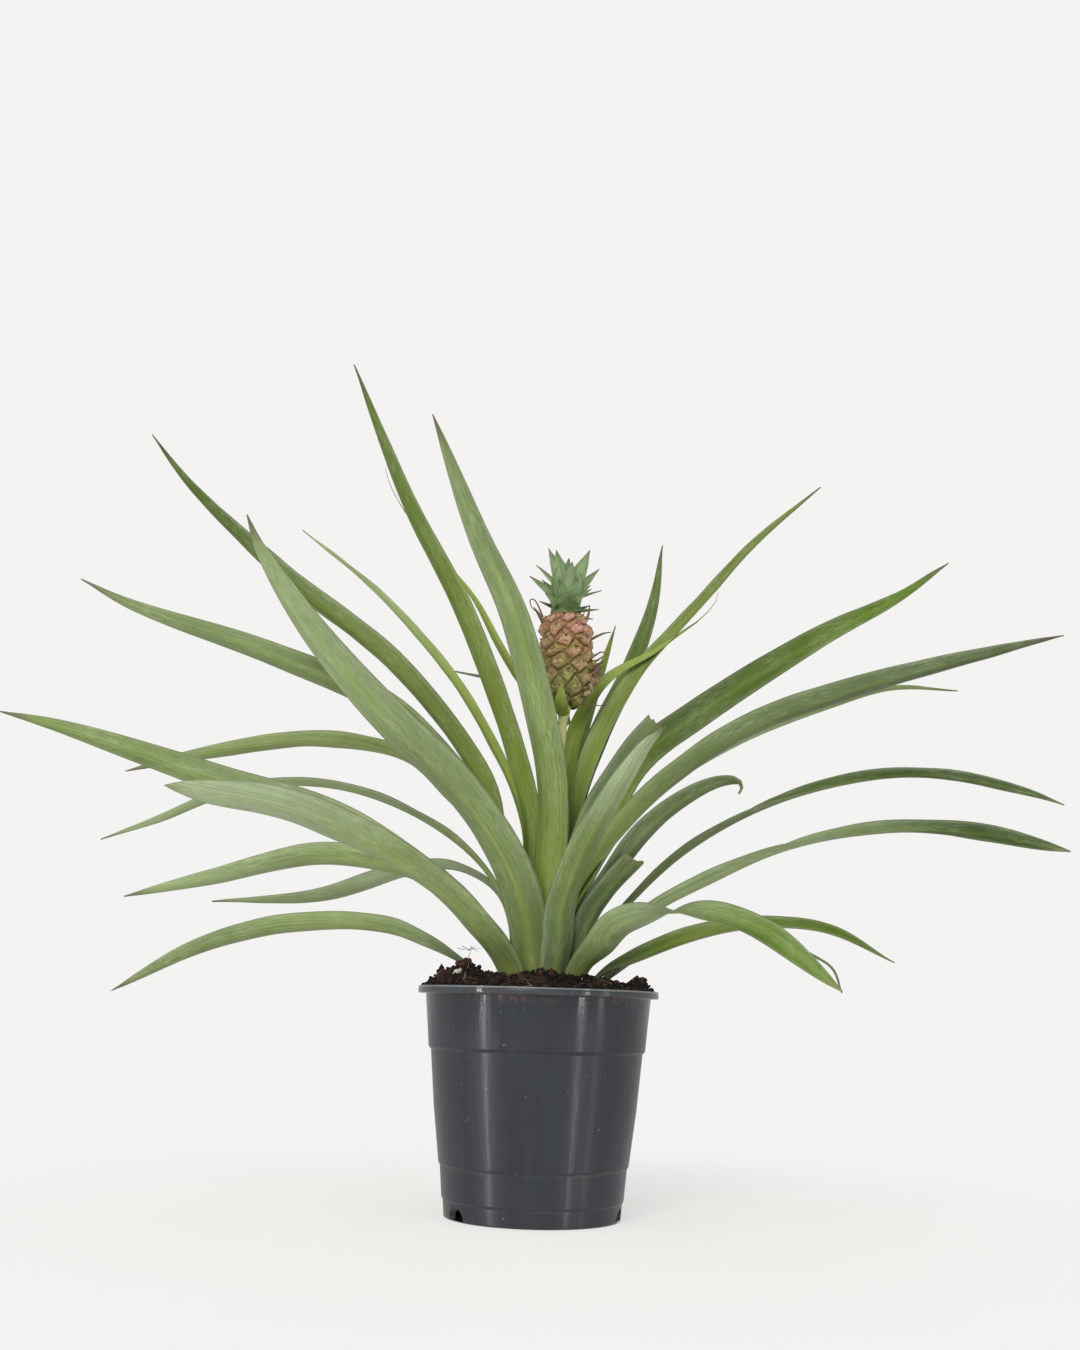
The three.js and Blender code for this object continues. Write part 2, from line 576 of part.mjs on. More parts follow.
function fruitGeometry() {
  const around = 2 * FRUIT_EYES;
  const points = [];
  const faces = [];
  const add = (point) => points.push(point) - 1;
  const corners = [];
  for (let row = 0; row <= FRUIT_ROWS; row++) {
    corners.push([]);
    for (let corner = 0; corner < around; corner++) {
      const { angle, height } = grooveCorner(row, corner);
      corners[row].push(add(fruitPoint(angle, height, 0)));
    }
  }
  for (let row = 0; row < FRUIT_ROWS; row++) {
    for (let middle = row % 2; middle < around + (row % 2); middle += 2) {
      const outline = [[row, -1], [row, 0], [row, 1], [row + 1, 1], [row + 1, 0], [row + 1, -1]];
      const places = outline.map(([r, step]) => grooveCorner(r, middle + step));
      const angle = places.reduce((sum, place) => sum + place.angle, 0) / places.length;
      const height = places.reduce((sum, place) => sum + place.height, 0) / places.length;
      const outer = outline.map(([r, step]) => corners[r][(middle + step + around) % around]);
      const inner = places.map((place) => add(fruitPoint(
        THREE.MathUtils.lerp(place.angle, angle, EYE_SHOULDER),
        THREE.MathUtils.lerp(place.height, height, EYE_SHOULDER),
        EYE_RISE,
      )));
      const eye = add(fruitPoint(angle, height, EYE_RISE * EYE_DIMPLE));
      for (let k = 0; k < outer.length; k++) {
        const next = (k + 1) % outer.length;
        faces.push(outer[k], outer[next], inner[next], outer[k], inner[next], inner[k]);
        faces.push(inner[k], inner[next], eye);
      }
    }
  }
  const foot = add(new THREE.Vector3(...FRUIT_CENTRE.toArray(), FRUIT_FOOT));
  const head = add(new THREE.Vector3(...FRUIT_CENTRE.toArray(), FRUIT_FOOT + FRUIT_HEIGHT));
  for (let corner = 0; corner < around; corner++) {
    const next = (corner + 1) % around;
    faces.push(foot, corners[0][next], corners[0][corner]);
    faces.push(head, corners[FRUIT_ROWS][corner], corners[FRUIT_ROWS][next]);
  }
  const geometry = new THREE.BufferGeometry();
  geometry.setAttribute("position", new THREE.Float32BufferAttribute(points.flatMap((p) => p.toArray()), 3));
  geometry.setIndex(faces);
  return geometry;
}

// A dry bract: a thin three-sided spike that stands out of an eye and bends upward.
function bractGeometry(row, middle, length) {
  const { angle } = grooveCorner(row, middle);
  const height = (FRUIT_HEIGHT / FRUIT_ROWS) * (row + 0.5);
  const root = fruitPoint(angle, height, 0);
  const out = new THREE.Vector3(Math.cos(angle), Math.sin(angle), 0.5).normalize();
  const turn = new THREE.Quaternion().setFromUnitVectors(new THREE.Vector3(0, 1, 0), out);
  return new THREE.ConeGeometry(BRACT_RADIUS, length, 3)
    .translate(0, length / 2, 0)
    .applyQuaternion(turn)
    .translate(root.x, root.y, root.z);
}

function makeFruit() {
  const random = seeded(3);
  let fruit = solidOf(fruitGeometry());
  for (let row = 0; row < FRUIT_ROWS; row++) {
    for (let middle = row % 2; middle < 2 * FRUIT_EYES; middle += 2) {
      const length = BRACT_LENGTH * (random() < LONG_BRACT_SHARE ? LONG_BRACT : 0.8 + 0.3 * random());
      fruit = fruit.add(solidOf(bractGeometry(row, middle, length)));
    }
  }
  const clear = (body, bract) => body.subtract(solidOf(stalkBractGeometry(bract, CLEARANCE)));
  return meshOf("fruit", mainBody(STALK_BRACTS.reduce(clear, fruit)), FRUIT_SKIN);
}

// ---- Crown ----

// One blade of the crown, from the lowest and most spread (0) to the innermost and tallest (1).
function crownBladeGeometry(order, angle) {
  const { lerp } = THREE.MathUtils;
  const out = new THREE.Vector3(Math.cos(angle), Math.sin(angle), 0);
  const across = new THREE.Vector3(-Math.sin(angle), Math.cos(angle), 0);
  const place = (reach, height) => out.clone().multiplyScalar(reach).setZ(height);
  const tipReach = lerp(CROWN_SPREAD, CROWN_TOP_SPREAD, order);
  const tipHeight = lerp(CROWN_LOW_TIP, CROWN_HEIGHT, Math.sqrt(order));
  const curve = new THREE.QuadraticBezierCurve3(
    place(CROWN_STUB_RADIUS * 0.3, lerp(...CROWN_FEET, order)),
    place(tipReach * lerp(0.6, 1.1, order), tipHeight * 0.55),
    place(tipReach, tipHeight),
  );
  const width = lerp(...CROWN_WIDTHS, order);
  const stations = [];
  for (let i = 0; i <= CROWN_STEPS; i++) {
    const s = i / CROWN_STEPS;
    const frame = bladeFrame(curve.getTangent(s), across, 0);
    const breadth = Math.max(width * (1 - Math.pow(s, 2.2)), LEAF_TIP_WIDTH);
    stations.push(bladeStation(curve.getPoint(s), frame, breadth, CROWN_CHANNEL, LEAF_THICKNESS, 0));
  }
  return bladeGeometry(stations);
}

function makeCrown() {
  let crown = solidOf(turned([
    [0, 0],
    [CROWN_STUB_RADIUS, 0],
    [CROWN_STUB_RADIUS, CROWN_STUB_HEIGHT / 4],
    [CROWN_STUB_RADIUS / 2, CROWN_STUB_HEIGHT],
    [0, CROWN_STUB_HEIGHT],
  ], STEM_SIDES));
  for (let i = 0; i < CROWN_BLADES; i++) {
    crown = crown.add(solidOf(crownBladeGeometry(i / (CROWN_BLADES - 1), i * GOLDEN_ANGLE)));
  }
  const mesh = meshOf("crown", mainBody(crown), CROWN_GREEN);
  mesh.position.set(...FRUIT_CENTRE.toArray(), FRUIT_FOOT + FRUIT_HEIGHT + FIT);
  return mesh;
}

// ---- Put together ----

const plant = new THREE.Group();
const leaves = makeLeaves(solidOf(stemGeometry(CLEARANCE)));
const soil = LEAVES.reduce(
  (peat, leaf) => peat.subtract(solidOf(leafGeometry(leaf, CLEARANCE))),
  solidOf(soilGeometry()),
);
plant.add(makePot());
plant.add(meshOf("soil", mainBody(soil), PEAT));
plant.add(makeStem());
plant.add(...leaves);
plant.add(makeFruit());
plant.add(makeCrown());

export default plant;
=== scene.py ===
"""The looks of the potted pineapple plant: fine leaves, fruit, crown, peat and pot round its solids.

Every shape below is worked out in millimetres in the frame of the solids: +Z is up, the origin is on
the pot's axis where it stands, the plant is seen from -Y. Meshes are scaled to metres as they are made.
"""

import random
from bisect import bisect_right
from math import cos, exp, hypot, pi, radians, sin, sqrt

import bmesh
import bpy
from mathutils import Euler, Matrix, Quaternion, Vector
from mathutils.noise import fractal, noise


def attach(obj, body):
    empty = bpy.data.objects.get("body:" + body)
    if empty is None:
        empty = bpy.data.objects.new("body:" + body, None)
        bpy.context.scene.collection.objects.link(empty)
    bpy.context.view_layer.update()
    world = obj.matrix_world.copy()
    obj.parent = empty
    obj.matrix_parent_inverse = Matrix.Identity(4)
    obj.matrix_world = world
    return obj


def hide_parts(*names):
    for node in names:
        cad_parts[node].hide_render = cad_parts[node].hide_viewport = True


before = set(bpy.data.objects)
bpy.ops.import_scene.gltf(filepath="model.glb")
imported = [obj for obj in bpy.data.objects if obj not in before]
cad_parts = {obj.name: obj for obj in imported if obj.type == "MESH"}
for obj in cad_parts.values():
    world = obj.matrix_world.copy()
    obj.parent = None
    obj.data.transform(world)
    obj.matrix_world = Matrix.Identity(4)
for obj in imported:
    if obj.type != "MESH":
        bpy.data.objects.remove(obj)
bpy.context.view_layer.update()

MM = 0.001
UP = Vector((0, 0, 1))

# ---- Driving sizes, in millimetres ----

POT_TOP = 111
POT_SEGMENTS = 144
POT_SHARP = radians(35)
WALL = 1.2
RIM_RADIUS = 60
RIM_BAND = 3.6
# The rim's bead and groove: how far in from its outer radius and how far below its top each point lies.
RIM_LIP = [(0, 1.3), (0.3, 1), (0.1, 0.7), (0.1, 0)]
COLLAR_TOP_RADIUS = 56.2
COLLAR_FOOT = 80.2
COLLAR_FOOT_RADIUS = 53.8
COLLAR_BEND = 91.6
LOWER_STEP_TOP = 24.7
LOWER_STEP_RADIUS = 46.8
BASE_STEP_TOP = 8.3
BASE_STEP_RADIUS = 44.7
FOOT_RADIUS = 43.3
FOOT_WIDTH = 3
FLOOR_UNDERSIDE = 5
FLOOR_TOP = 6.6
NOTCH_WIDTH = 13
NOTCH_HEIGHT = 6.8
NOTCH_ANGLES = [-104, -57, 76, 123]

SOIL_RIM = 109
SOIL_CROWN = 119
SOIL_RADIUS = 54.7
SOIL_FOOT = 7
# Heights under which peat dust has settled, how far down it reaches, and how thick it lies.
POT_LEDGES = [
    (POT_TOP - RIM_BAND, 5, 0.5), (COLLAR_FOOT, 1, 0.15),
    (LOWER_STEP_TOP, 1.6, 0.3), (BASE_STEP_TOP, 1.4, 0.15),
]
# Where the peat is heaped up: the place of each mound, its height and how far it spreads.
SOIL_MOUNDS = [
    ((-37, -16), 9, 9), ((-50, -8), 7, 8), ((4, -33), 3.5, 8),
    ((51, -9), 8, 7), ((34, 24), 3, 10), ((-22, 36), 3, 9),
]
SOIL_SPOKES = 180
SOIL_RINGS = 44
CRUMBS = 2200
FIBRES = 90

ROOT_HEIGHT = 103
LEAF_STATIONS = 56
LEAF_COLUMNS = 14
LEAF_THICKNESS = 0.9
LEAF_TAPER = 3.4
LEAF_POINT = 0.85
FOOT_NARROWING = 0.72
ROOT_DRAWN_IN = 0.7
LEAF_CHANNEL = radians(22)
LEAF_TIP_CHANNEL = radians(12)
# How far a blade's section is a round channel instead of a folded V.
ROUND_SHARE = 0.55

FRUIT_FOOT = Vector((10.6, 4, 255.5))
FRUIT_HEAD = Vector((8.3, 4, 306))
FRUIT_RADIUS = 11
FRUIT_ROWS = 8
FRUIT_EYES = 7
FRUIT_TWIST = 0.25
# The rings of points of one fruitlet, from its groove to its middle, as shares of its size.
FRUITLET_SHARES = [1.0, 0.96, 0.92, 0.86, 0.78, 0.69, 0.6, 0.51, 0.42, 0.34, 0.26, 0.19, 0.12, 0.06]
ROW_ZIGZAG = 0.3

# ---- Colours, as they are seen in plain daylight ----

# sun and mist, the lightest greens, are partly painted light: they lighten leaf feet and middles that lie in
# shade among the other leaves. On the outer ends of front_1 and front_2, mist is partly a painted sheen on
# the pale scurf.
GREENS = dict(
    deep="36491e", dusk="445829", dark="4f6429", grass="55701a", moss="5f732d", dull="677945",
    olive="6b7c38", vivid="7d9a24", leaf="768a36", sage="788a4c", grey="7f9060", fresh="869948",
    lime="8ba040", silver="8a9b6c", pale="95a672", spring="9cb150", mist="a3b28a", sun="a9c04a",
)

# ---- Studio tones ----

BACKDROP = (0.902, 0.893, 0.88, 1)
FLOOR_GLOW = (0.52, 0.515, 0.508, 1)
FRONT_TO_BACK = (0.8, 0.5)
SIDE_TO_TOP = (1.0, 0.6)
LEFT_TO_RIGHT = (1.05, 0.95)
FLOOR_RADIUS = 1.4
# How far from the pot the floor starts to fade into the backdrop, and where it has faded, in metres.
FLOOR_FADE = (0.12, 0.45)
STRIP_HEIGHT = 1.3
STRIP_DISTANCE = 1.3
# Each row: its side, its angle round the pot from the front, its width in metres and its power.
STRIP_LIGHTS = [("left", -56, 0.035, 3.8), ("front", 45, 0.035, 2.3), ("right", 66, 0.12, 1)]

# ---- Leaves, from the innermost at the stem to the outermost at the soil ----
# Each row holds: name, width, the root's direction in degrees and its distance from the stem's axis,
# the roll at the root, a third, two thirds and the end, the greens of its foot, middle and outer end,
# and the middle line of the blade from above the root to the tip.

LEAVES = [
    ("upright_1", 19, 245, 7.2, (0, 15, 39, 40), "sun moss dull",
     [(0.5, -9, 155), (3, -14, 183), (2, -21, 213), (-2.5, -27, 238), (-17.5, -38, 291.5),
      (-36.5, -47, 330), (-60, -60, 386)]),
    ("upright_2", 12, 15, 7.4, (60, 60, 45, 25), "sun lime spring",
     [(7, 3, 150), (9, 7, 192), (11.8, 12, 226), (18, 17, 251), (31, 22, 274), (57, 22, 291.4),
      (79, 20, 308)]),
    ("upright_3", 8, 130, 7.6, (-60, -50, -30, -30), "vivid fresh spring",
     [(-1, 6, 150), (3, 9, 190), (3, 15, 228), (-2, 20, 252), (-9, 24, 266), (-17.5, 28, 278),
      (-28.5, 32, 297), (-41, 38, 321), (-63, 45, 349)]),
    ("upright_4", 12, 78, 9.2, (0, 10, 20, 20), "sun spring lime",
     [(4, 10, 150), (12, 17, 209), (22, 28, 257), (30, 34, 286), (36, 39, 309)]),
    ("upright_5", 14, 345, 10.2, (0, 32, 21, 30), "spring fresh olive",
     [(11, 2, 150), (15, 7, 199.5), (28.5, 14, 242), (48.5, 21, 279), (79.5, 31, 317.5), (112.5, 44, 359.5),
      (151, 58, 398)]),
    ("upright_6", 15, 200, 10.8, (-50, -60, -72, -67), "leaf leaf moss",
     [(-7, -3, 150), (-7, -5, 190), (-14, -7, 221), (-44, -11, 299.5), (-74, -15, 355.5),
      (-105, -20, 428)]),
    ("upright_7", 14, 48, 11, (0, 10, 42, 13), "fresh leaf dark",
     [(9, 9, 150), (15, 15, 198), (28.5, 29, 245.5), (43.5, 41, 281.5), (57, 54, 323), (63, 67, 364)]),
    ("left_1", 8, 150, 11, (0, -10, -27, -17), "sun spring pale",
     [(-7, 7, 150), (-10, 14, 196), (-30, 34, 242.5), (-54, 52, 282), (-97.5, 78, 333.5),
      (-148, 105, 379)]),
    ("back_1", 17, 95, 11.8, (0, 0, 0, 0), "moss leaf sage",
     [(2, 19, 145), (6, 42, 192), (10, 80, 222), (12, 118, 226), (14, 149.6, 208)]),
    ("left_2", 18, 180, 12.8, (0, -30, -52, -36), "lime olive dark",
     [(-11, 2, 150), (-25, 7, 188.5), (-34, 14, 218), (-81, 26, 279), (-147.5, 38, 332.5),
      (-202.5, 47, 384.5), (-226, 50, 414)]),
    ("right_1", 19, 18, 13, (0, 63, 76, 44), "sun dark grass",
     [(13, 4, 148), (22, 9, 172), (45, 26, 227.5), (81.5, 42, 261), (149, 65, 310.5), (201, 81, 342),
      (232, 90, 366)]),
    ("left_3", 22.5, 262, 14.6, (0, 33, 58, 56), "moss dull grey",
     [(-6.5, -19, 139), (-16, -25, 168), (-42, -37, 205), (-72.5, -50, 233), (-111.5, -66, 274.5),
      (-136.5, -81, 310.5), (-142, -86, 324)]),
    ("right_2", 17, 300, 14, (0, 0, -10, -10), "grass dusk sage",
     [(10, -14, 140), (14, -20, 159), (26, -33, 197), (42, -43, 225), (54, -47, 240)]),
    ("right_3", 19, 0, 15.2, (-5, -35, -46, -44), "spring dark deep",
     [(15, -1, 153), (37, 0, 188.5), (66.5, 3, 220), (106.5, 7, 248.5), (158, 10, 270), (217, 12, 289),
      (272, 15, 305)]),
    ("left_4", 17, 212, 14.4, (0, 33, 60, 64), "dull moss dull",
     [(-12, -7, 145), (-26.5, -14, 190), (-49, -22, 219), (-81, -28, 247.5), (-138.5, -38, 270),
      (-204.5, -47, 290), (-228, -50, 301)]),
    ("left_5", 17, 150, 14.6, (0, 15, 37, 64), "sun fresh sage",
     [(-14, 9, 140), (-23.5, 18, 184), (-50, 32, 209), (-76, 47, 233), (-127, 70, 245.5), (-198, 91, 239.5),
      (-242, 100, 230)]),
    ("right_4", 15, 36, 14.3, (0, -10, -20, -10), "grass mist sage",
     [(22, 9, 157), (39, 15, 190), (63, 22, 217), (106, 31, 246), (153, 37, 267), (188, 41, 279),
      (224, 45, 280)]),
    ("right_5", 15, 318, 16.4, (0, -15, -30, -40), "deep deep dusk",
     [(20, -14, 138), (33.5, -26, 164), (49.5, -38, 187.5), (70.5, -50, 204.5), (84, -56, 210),
      (91, -60, 209.5), (92.5, -60.2, 206.5), (91, -60, 203.5)]),
    ("back_2", 16, 75, 15.4, (0, 0, 0, 0), "moss leaf sage",
     [(8, 27, 138), (14, 55, 170), (20, 100, 190), (22, 136, 176), (22, 149.6, 164)]),
    ("left_6", 12, 170, 16.4, (0, 15, 20, 51), "spring grey silver",
     [(-15.5, 5, 145), (-30.5, 10, 172), (-65.5, 23, 198.5), (-111.5, 37, 215), (-162, 49, 215),
      (-213, 58, 196.5), (-242, 61, 186)]),
    ("left_7", 19, 194, 17.4, (0, 48, 74, 74), "spring dull moss",
     [(-27, -5, 135), (-43.5, -8, 152.5), (-63.5, -10, 168), (-103, -12, 191.5), (-161.5, -17, 209),
      (-242, -23, 233), (-271, -26, 239)]),
    ("right_6", 14, 5, 18.2, (0, -10, 33, 64), "olive dark deep",
     [(28.5, 3, 134.5), (42, 4, 152), (72.5, 6, 182), (113, 5, 206.5), (163.5, 3, 222.5), (204, 1, 225),
      (248, 0, 217.5), (265, -1, 212)]),
    ("right_7", 14, 330, 21, (0, -10, -15, -20), "deep dusk olive",
     [(24, -21, 146), (30, -28, 156), (38, -35, 166), (45, -41, 174)]),
    ("front_1", 17, 287, 20.2, (0, 0, 0, 0), "dusk moss mist",
     [(9, -26, 134), (10, -34, 149), (19, -56, 175), (30, -82, 195), (43, -118, 215), (50, -136, 221)]),
    ("left_8", 16, 180, 19.4, (0, 45, 56, 59), "pale sage grey",
     [(-24.5, -1, 132.5), (-35, -4, 144), (-54, -9, 163), (-79.5, -14, 170.5), (-111, -20, 172.5),
      (-159.5, -26, 160), (-202, -31, 149)]),
    ("right_8", 16, 350, 20.4, (0, -20, 30, 78), "silver silver deep",
     [(30, -5, 129), (54, -11, 149.5), (82.5, -16, 165.5), (123, -21, 183.5), (172, -25, 193),
      (219, -27, 192), (258, -28, 185)]),
    ("left_9", 15, 158, 20, (0, 10, 40, 30), "grey mist grey",
     [(-15.5, 12, 143), (-24, 18, 161), (-46, 27, 172.5), (-74, 36, 170), (-120, 50, 157),
      (-179, 61, 154)]),
    ("back_3", 16, 98, 20, (0, 0, 0, 0), "moss leaf sage",
     [(-4, 32, 128), (-6, 60, 145), (-8, 100, 150), (-8, 130, 134), (-8, 149.6, 116)]),
    ("front_2", 20, 236, 22.6, (0, 12, 36, 50), "moss sage mist",
     [(-17, -22, 123), (-30, -37, 138), (-46, -55, 153), (-72, -82, 169), (-110, -114, 183),
      (-143, -142, 186), (-156, -150, 187)]),
    ("front_3", 17, 320, 22.8, (0, -40, 38, 60), "moss silver grass",
     [(20, -19, 121), (28, -30, 130), (36, -46, 140.5), (56, -74, 146), (77.5, -98, 143.5), (98, -112, 135),
      (127, -124, 112)]),
    ("right_9", 16, 352, 23.6, (0, 37, 25, 20), "dusk olive grass",
     [(33, -4, 120), (46, -8, 126), (75.5, -16, 138), (107, -24, 144), (138, -33, 142), (169, -40, 128)]),
    ("right_10", 14, 14, 23, (0, 0, 10, 10), "dull mist grass",
     [(40, 6, 121), (50.5, 8, 128.5), (71.5, 13, 138), (96.5, 18, 147), (129, 24, 137), (152, 28, 127),
      (158, 29, 114)]),
    ("left_10", 16, 170, 23.6, (0, 35, 47, 50), "dusk sage dull",
     [(-35, 7, 120.5), (-60, 17, 133), (-81, 23, 140), (-130, 32, 140.5), (-179, 37, 128),
      (-225, 41, 104)]),
]
# The power by which a leaf with a full end narrows; a leaf that isn't named here narrows by LEAF_TAPER.
FULL_ENDS = {"front_2": 9, "right_6": 5.5, "right_8": 7, "right_9": 6, "front_3": 5, "left_1": 4.5}
# For a leaf that is cut off: the share of it that is left, and how deep its torn edge is in mm.
CUT_ENDS = {"right_2": (0.6, 2.2), "right_5": (0.95, 1), "right_7": (0.55, 1.6)}

# ---- Crown: the tip of each blade from the crown's foot, and its width ----

CROWN_FOOT = Vector((8.3, 4, 304.5))
# Each row: the blade's tip, its width, and the way its inner face looks, in degrees round the crown.
CROWN_BLADES = [
    ((-10, -1, 35.5), 11, 108), ((-5.9, -3, 34), 13, 98), ((1.2, 6, 32.5), 9, 270),
    ((11.7, -2, 34.8), 12.5, 80), ((16.9, -1, 25), 10.5, 64), ((12.9, -5, 13), 8.5, 66),
    ((18.7, 3, 14.7), 5.5, 35), ((-16.1, 2, 27), 7.5, 130), ((-19.6, -3, 19.6), 10, 118),
    ((17.2, -2, 3), 5.5, 35), ((14.2, -5, -3), 5, 35), ((2.5, -6, 27), 14, 92),
    ((-5, -8, 16), 12, 104), ((7, -8, 18), 12, 76), ((1, -9, 10), 11, 92), ((-11, -8, 9), 11, 110),
    ((-6, 10, 30), 11, 250), ((7, 11, 29), 11, 290), ((-13, 8, 21), 8, 220),
    ((13, 9, 19), 7, 320), ((0, 13, 17), 8, 270), ((-14, 7, 9), 6, 210), ((13, 9, 8), 6, 330),
    ((-3, -4, 29), 9, 10), ((4, 5, 27), 9, 190), ((1, 1, 31), 8, 60), ((-2, 4, 28), 8, 300),
    ((6, -10, 21), 8, 150), ((-5, -13, 22), 8, 40), ((5, 13, 22), 8, 220), ((-6, 14, 18), 7, 320),
    ((2, -16, 9), 7, 90), ((3, 16, 8), 7, 270),
]

# ---- Bracts and dry threads: middle lines and widths ----

STALK_BRACTS = [
    ([(8.3, 2, 251), (7.2, -6, 253.5), (6.8, -10.5, 258), (7, -12, 265.5)], 7.2),
    ([(6, 4, 247), (-1, 5, 250), (-6.5, 6, 256), (-8, 7, 262)], 4.5),
    ([(10, 6, 247), (9.5, 12, 251), (9, 18, 258), (9, 21, 265)], 5.5),
]
DRY_BRACTS = [
    ([(20.5, 3, 291), (25.3, 0, 293.1), (28.8, -1, 294.5), (31.9, -2, 294.9)], 2.2),
    ([(21.5, 3, 281.5), (24.6, 2, 283.6), (27.5, 0, 284.8), (31, 2, 284)], 1.1),
    ([(21, 2, 275), (25.8, 1, 278), (28.6, -1, 279.6)], 4.2),
    ([(20, 0, 270), (25, -2, 273), (27.6, -4, 276.5)], 4.6),
    ([(19, 0, 264), (23.6, -2, 266.5), (26.4, -3, 270.5)], 4.4),
    ([(16, -2, 259.5), (20.5, -3, 261), (23, -3.5, 264.5)], 3.6),
    ([(21, 4, 280), (25.4, 4, 281), (27.8, 3, 283.2)], 2.6),
    ([(15.5, 2, 300), (19.6, -2, 302.5), (20.4, -5, 308)], 1.8),
    ([(-3, 3, 299), (-6, 1, 304), (-8.3, 0, 307.5)], 3.2),
    ([(14, 1, 258), (23.2, 4, 257.4), (30.4, 2, 257.2)], 0.5),
]
DRY_THREADS = [
    ([(-3.5, 3, 303), (-6.2, 1, 308.6), (-8.4, 0, 311.4), (-10.2, 0, 311.4), (-10.2, 0, 309),
      (-8.3, 0, 306), (-5, 0, 304)], 0.5, "6f5a48"),
    ([(76, 20.5, 305.5), (81.5, 20, 310.4), (86, 19.5, 315.4), (88.6, 19, 319.8), (89.4, 19, 324)],
     0.4, "8d9455"),
    ([(-70, -14, 344), (-76.5, -15, 352.5), (-82.4, -16, 362.1), (-85.1, -17, 368.1), (-86.8, -18, 374.1)],
     0.3, "75705a"),
    ([(-24, 12, 270.5), (-30, 11, 271.4), (-38.6, 9, 272.4), (-48.3, 6, 273.4)], 1.15, "74826c"),
]
# Withered flowers at the fruit's side: their places and sizes.
WITHERED = [
    (23.6, 1, 279, 1.9), (25, 0, 275.5, 2.4), (24.6, -1, 272, 2.6), (23.8, -2, 268.5, 2.5),
    (22.2, -3, 265, 2.3), (20.3, -4, 261.8, 2), (26.6, -1, 273.6, 1.5), (25.6, -2, 269.6, 1.5),
    (22.4, 2, 283, 1.5),
]
# The dry sprig on the left mound.
SPRIG = [
    [(-40.5, -16, 129.4), (-37.5, -16, 129), (-34, -16, 129.3), (-31.4, -17, 129.2), (-28.5, -16, 129.8)],
    [(-35, -16, 125), (-34.2, -16.5, 127.6), (-33.4, -16, 131)],
    [(-38.5, -16, 130.6), (-36, -16.5, 129.5), (-33.5, -16, 128.4)],
    [(-34, -15, 130.4), (-32, -16, 129), (-30, -17, 128)],
    [(-35.6, -14, 128.4), (-33.4, -15, 129.6), (-31.4, -17, 130.6)],
]


# ---- Small helpers ----


def colour(text):
    """A colour written as six hex digits, as linear red, green and blue."""
    parts = [int(text[i:i + 2], 16) / 255 for i in (0, 2, 4)]
    return Vector([p / 12.92 if p < 0.04045 else ((p + 0.055) / 1.055) ** 2.4 for p in parts])


def colours(text):
    return [colour(tone) for tone in text.split()]


def smooth(low, high, x):
    t = min(max((x - low) / (high - low), 0), 1)
    return t * t * (3 - 2 * t)


def lerp(a, b, t):
    return a + (b - a) * t


def around(angle, radius=1, height=0):
    return Vector((radius * cos(angle), radius * sin(angle), height))


def through(stops, s):
    """A value that runs smoothly through its stops, which are spread evenly."""
    x = s * (len(stops) - 1)
    i = min(int(x), len(stops) - 2)
    return lerp(stops[i], stops[i + 1], smooth(0, 1, x - i))


class Path:
    """A smooth line through points, read by the share of its length."""

    def __init__(self, points, per_span=28):
        points = [Vector(p) for p in points]
        ends = [2 * points[0] - points[1], *points, 2 * points[-1] - points[-2]]
        self.samples = []
        for before, start, end, after in zip(ends, ends[1:], ends[2:], ends[3:]):
            d0, d1, d2 = ((b - a).length ** 0.5 for a, b in ((before, start), (start, end), (end, after)))
            leave = ((start - before) / d0 - (end - before) / (d0 + d1) + (end - start) / d1) * d1
            reach = ((end - start) / d1 - (after - start) / (d1 + d2) + (after - end) / d2) * d1
            for k in range(per_span):
                t = k / per_span
                t2, t3 = t * t, t * t * t
                self.samples.append(start * (2 * t3 - 3 * t2 + 1) + leave * (t3 - 2 * t2 + t)
                                    + end * (3 * t2 - 2 * t3) + reach * (t3 - t2))
        self.samples.append(points[-1])
        self.lengths = [0.0]
        for a, b in zip(self.samples, self.samples[1:]):
            self.lengths.append(self.lengths[-1] + (b - a).length)
        self.length = self.lengths[-1]

    def at(self, s):
        want = min(max(s, 0), 1) * self.length
        high = min(bisect_right(self.lengths, want), len(self.lengths) - 1)
        before, after = self.lengths[high - 1], self.lengths[high]
        return self.samples[high - 1].lerp(self.samples[high], (want - before) / (after - before))

    def tangent(self, s):
        return (self.at(s + 0.004) - self.at(s - 0.004)).normalized()


def put(name, data):
    made = bpy.data.objects.new(name, data)
    bpy.context.scene.collection.objects.link(made)
    return made


class Shape:
    """Points, faces, tints and texture places that become one mesh."""

    def __init__(self):
        self.points, self.faces, self.tints, self.places = [], [], [], []

    def add(self, points, faces, tints, places=None):
        first = len(self.points)
        self.points += points
        self.faces += [[first + i for i in face] for face in faces]
        self.tints += tints if isinstance(tints, list) else [tints] * len(points)
        self.places += places or [(p[0] + p[1], p[2]) for p in points]

    def piece(self, name, material, nodes=(), sharp=radians(50)):
        mesh = bpy.data.meshes.new(name)
        mesh.from_pydata([Vector(p) * MM for p in self.points], [], self.faces)
        tint = mesh.attributes.new("tint", "FLOAT_COLOR", "POINT")
        tint.data.foreach_set("color", [c for t in self.tints for c in (*t, 1.0)])
        layer = mesh.uv_layers.new(name="UVMap")
        for loop in mesh.loops:
            layer.data[loop.index].uv = self.places[loop.vertex_index]
        mesh.validate()
        mesh.shade_smooth()
        mesh.set_sharp_from_angle(angle=sharp)
        mesh.materials.append(material)
        made = put(name, mesh)
        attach(made, "root")
        if nodes:
            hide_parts(*nodes)
        return made


def ring_faces(rings, count, capped=False):
    """The faces between rings of points that follow each other, and over both ends if it is capped."""
    faces = []
    for first in range(0, (rings - 1) * count, count):
        for k in range(count):
            n = (k + 1) % count
            faces.append([first + k, first + n, first + count + n, first + count + k])
    if capped:
        faces += [list(range(count))[::-1], list(range((rings - 1) * count, rings * count))]
    return faces


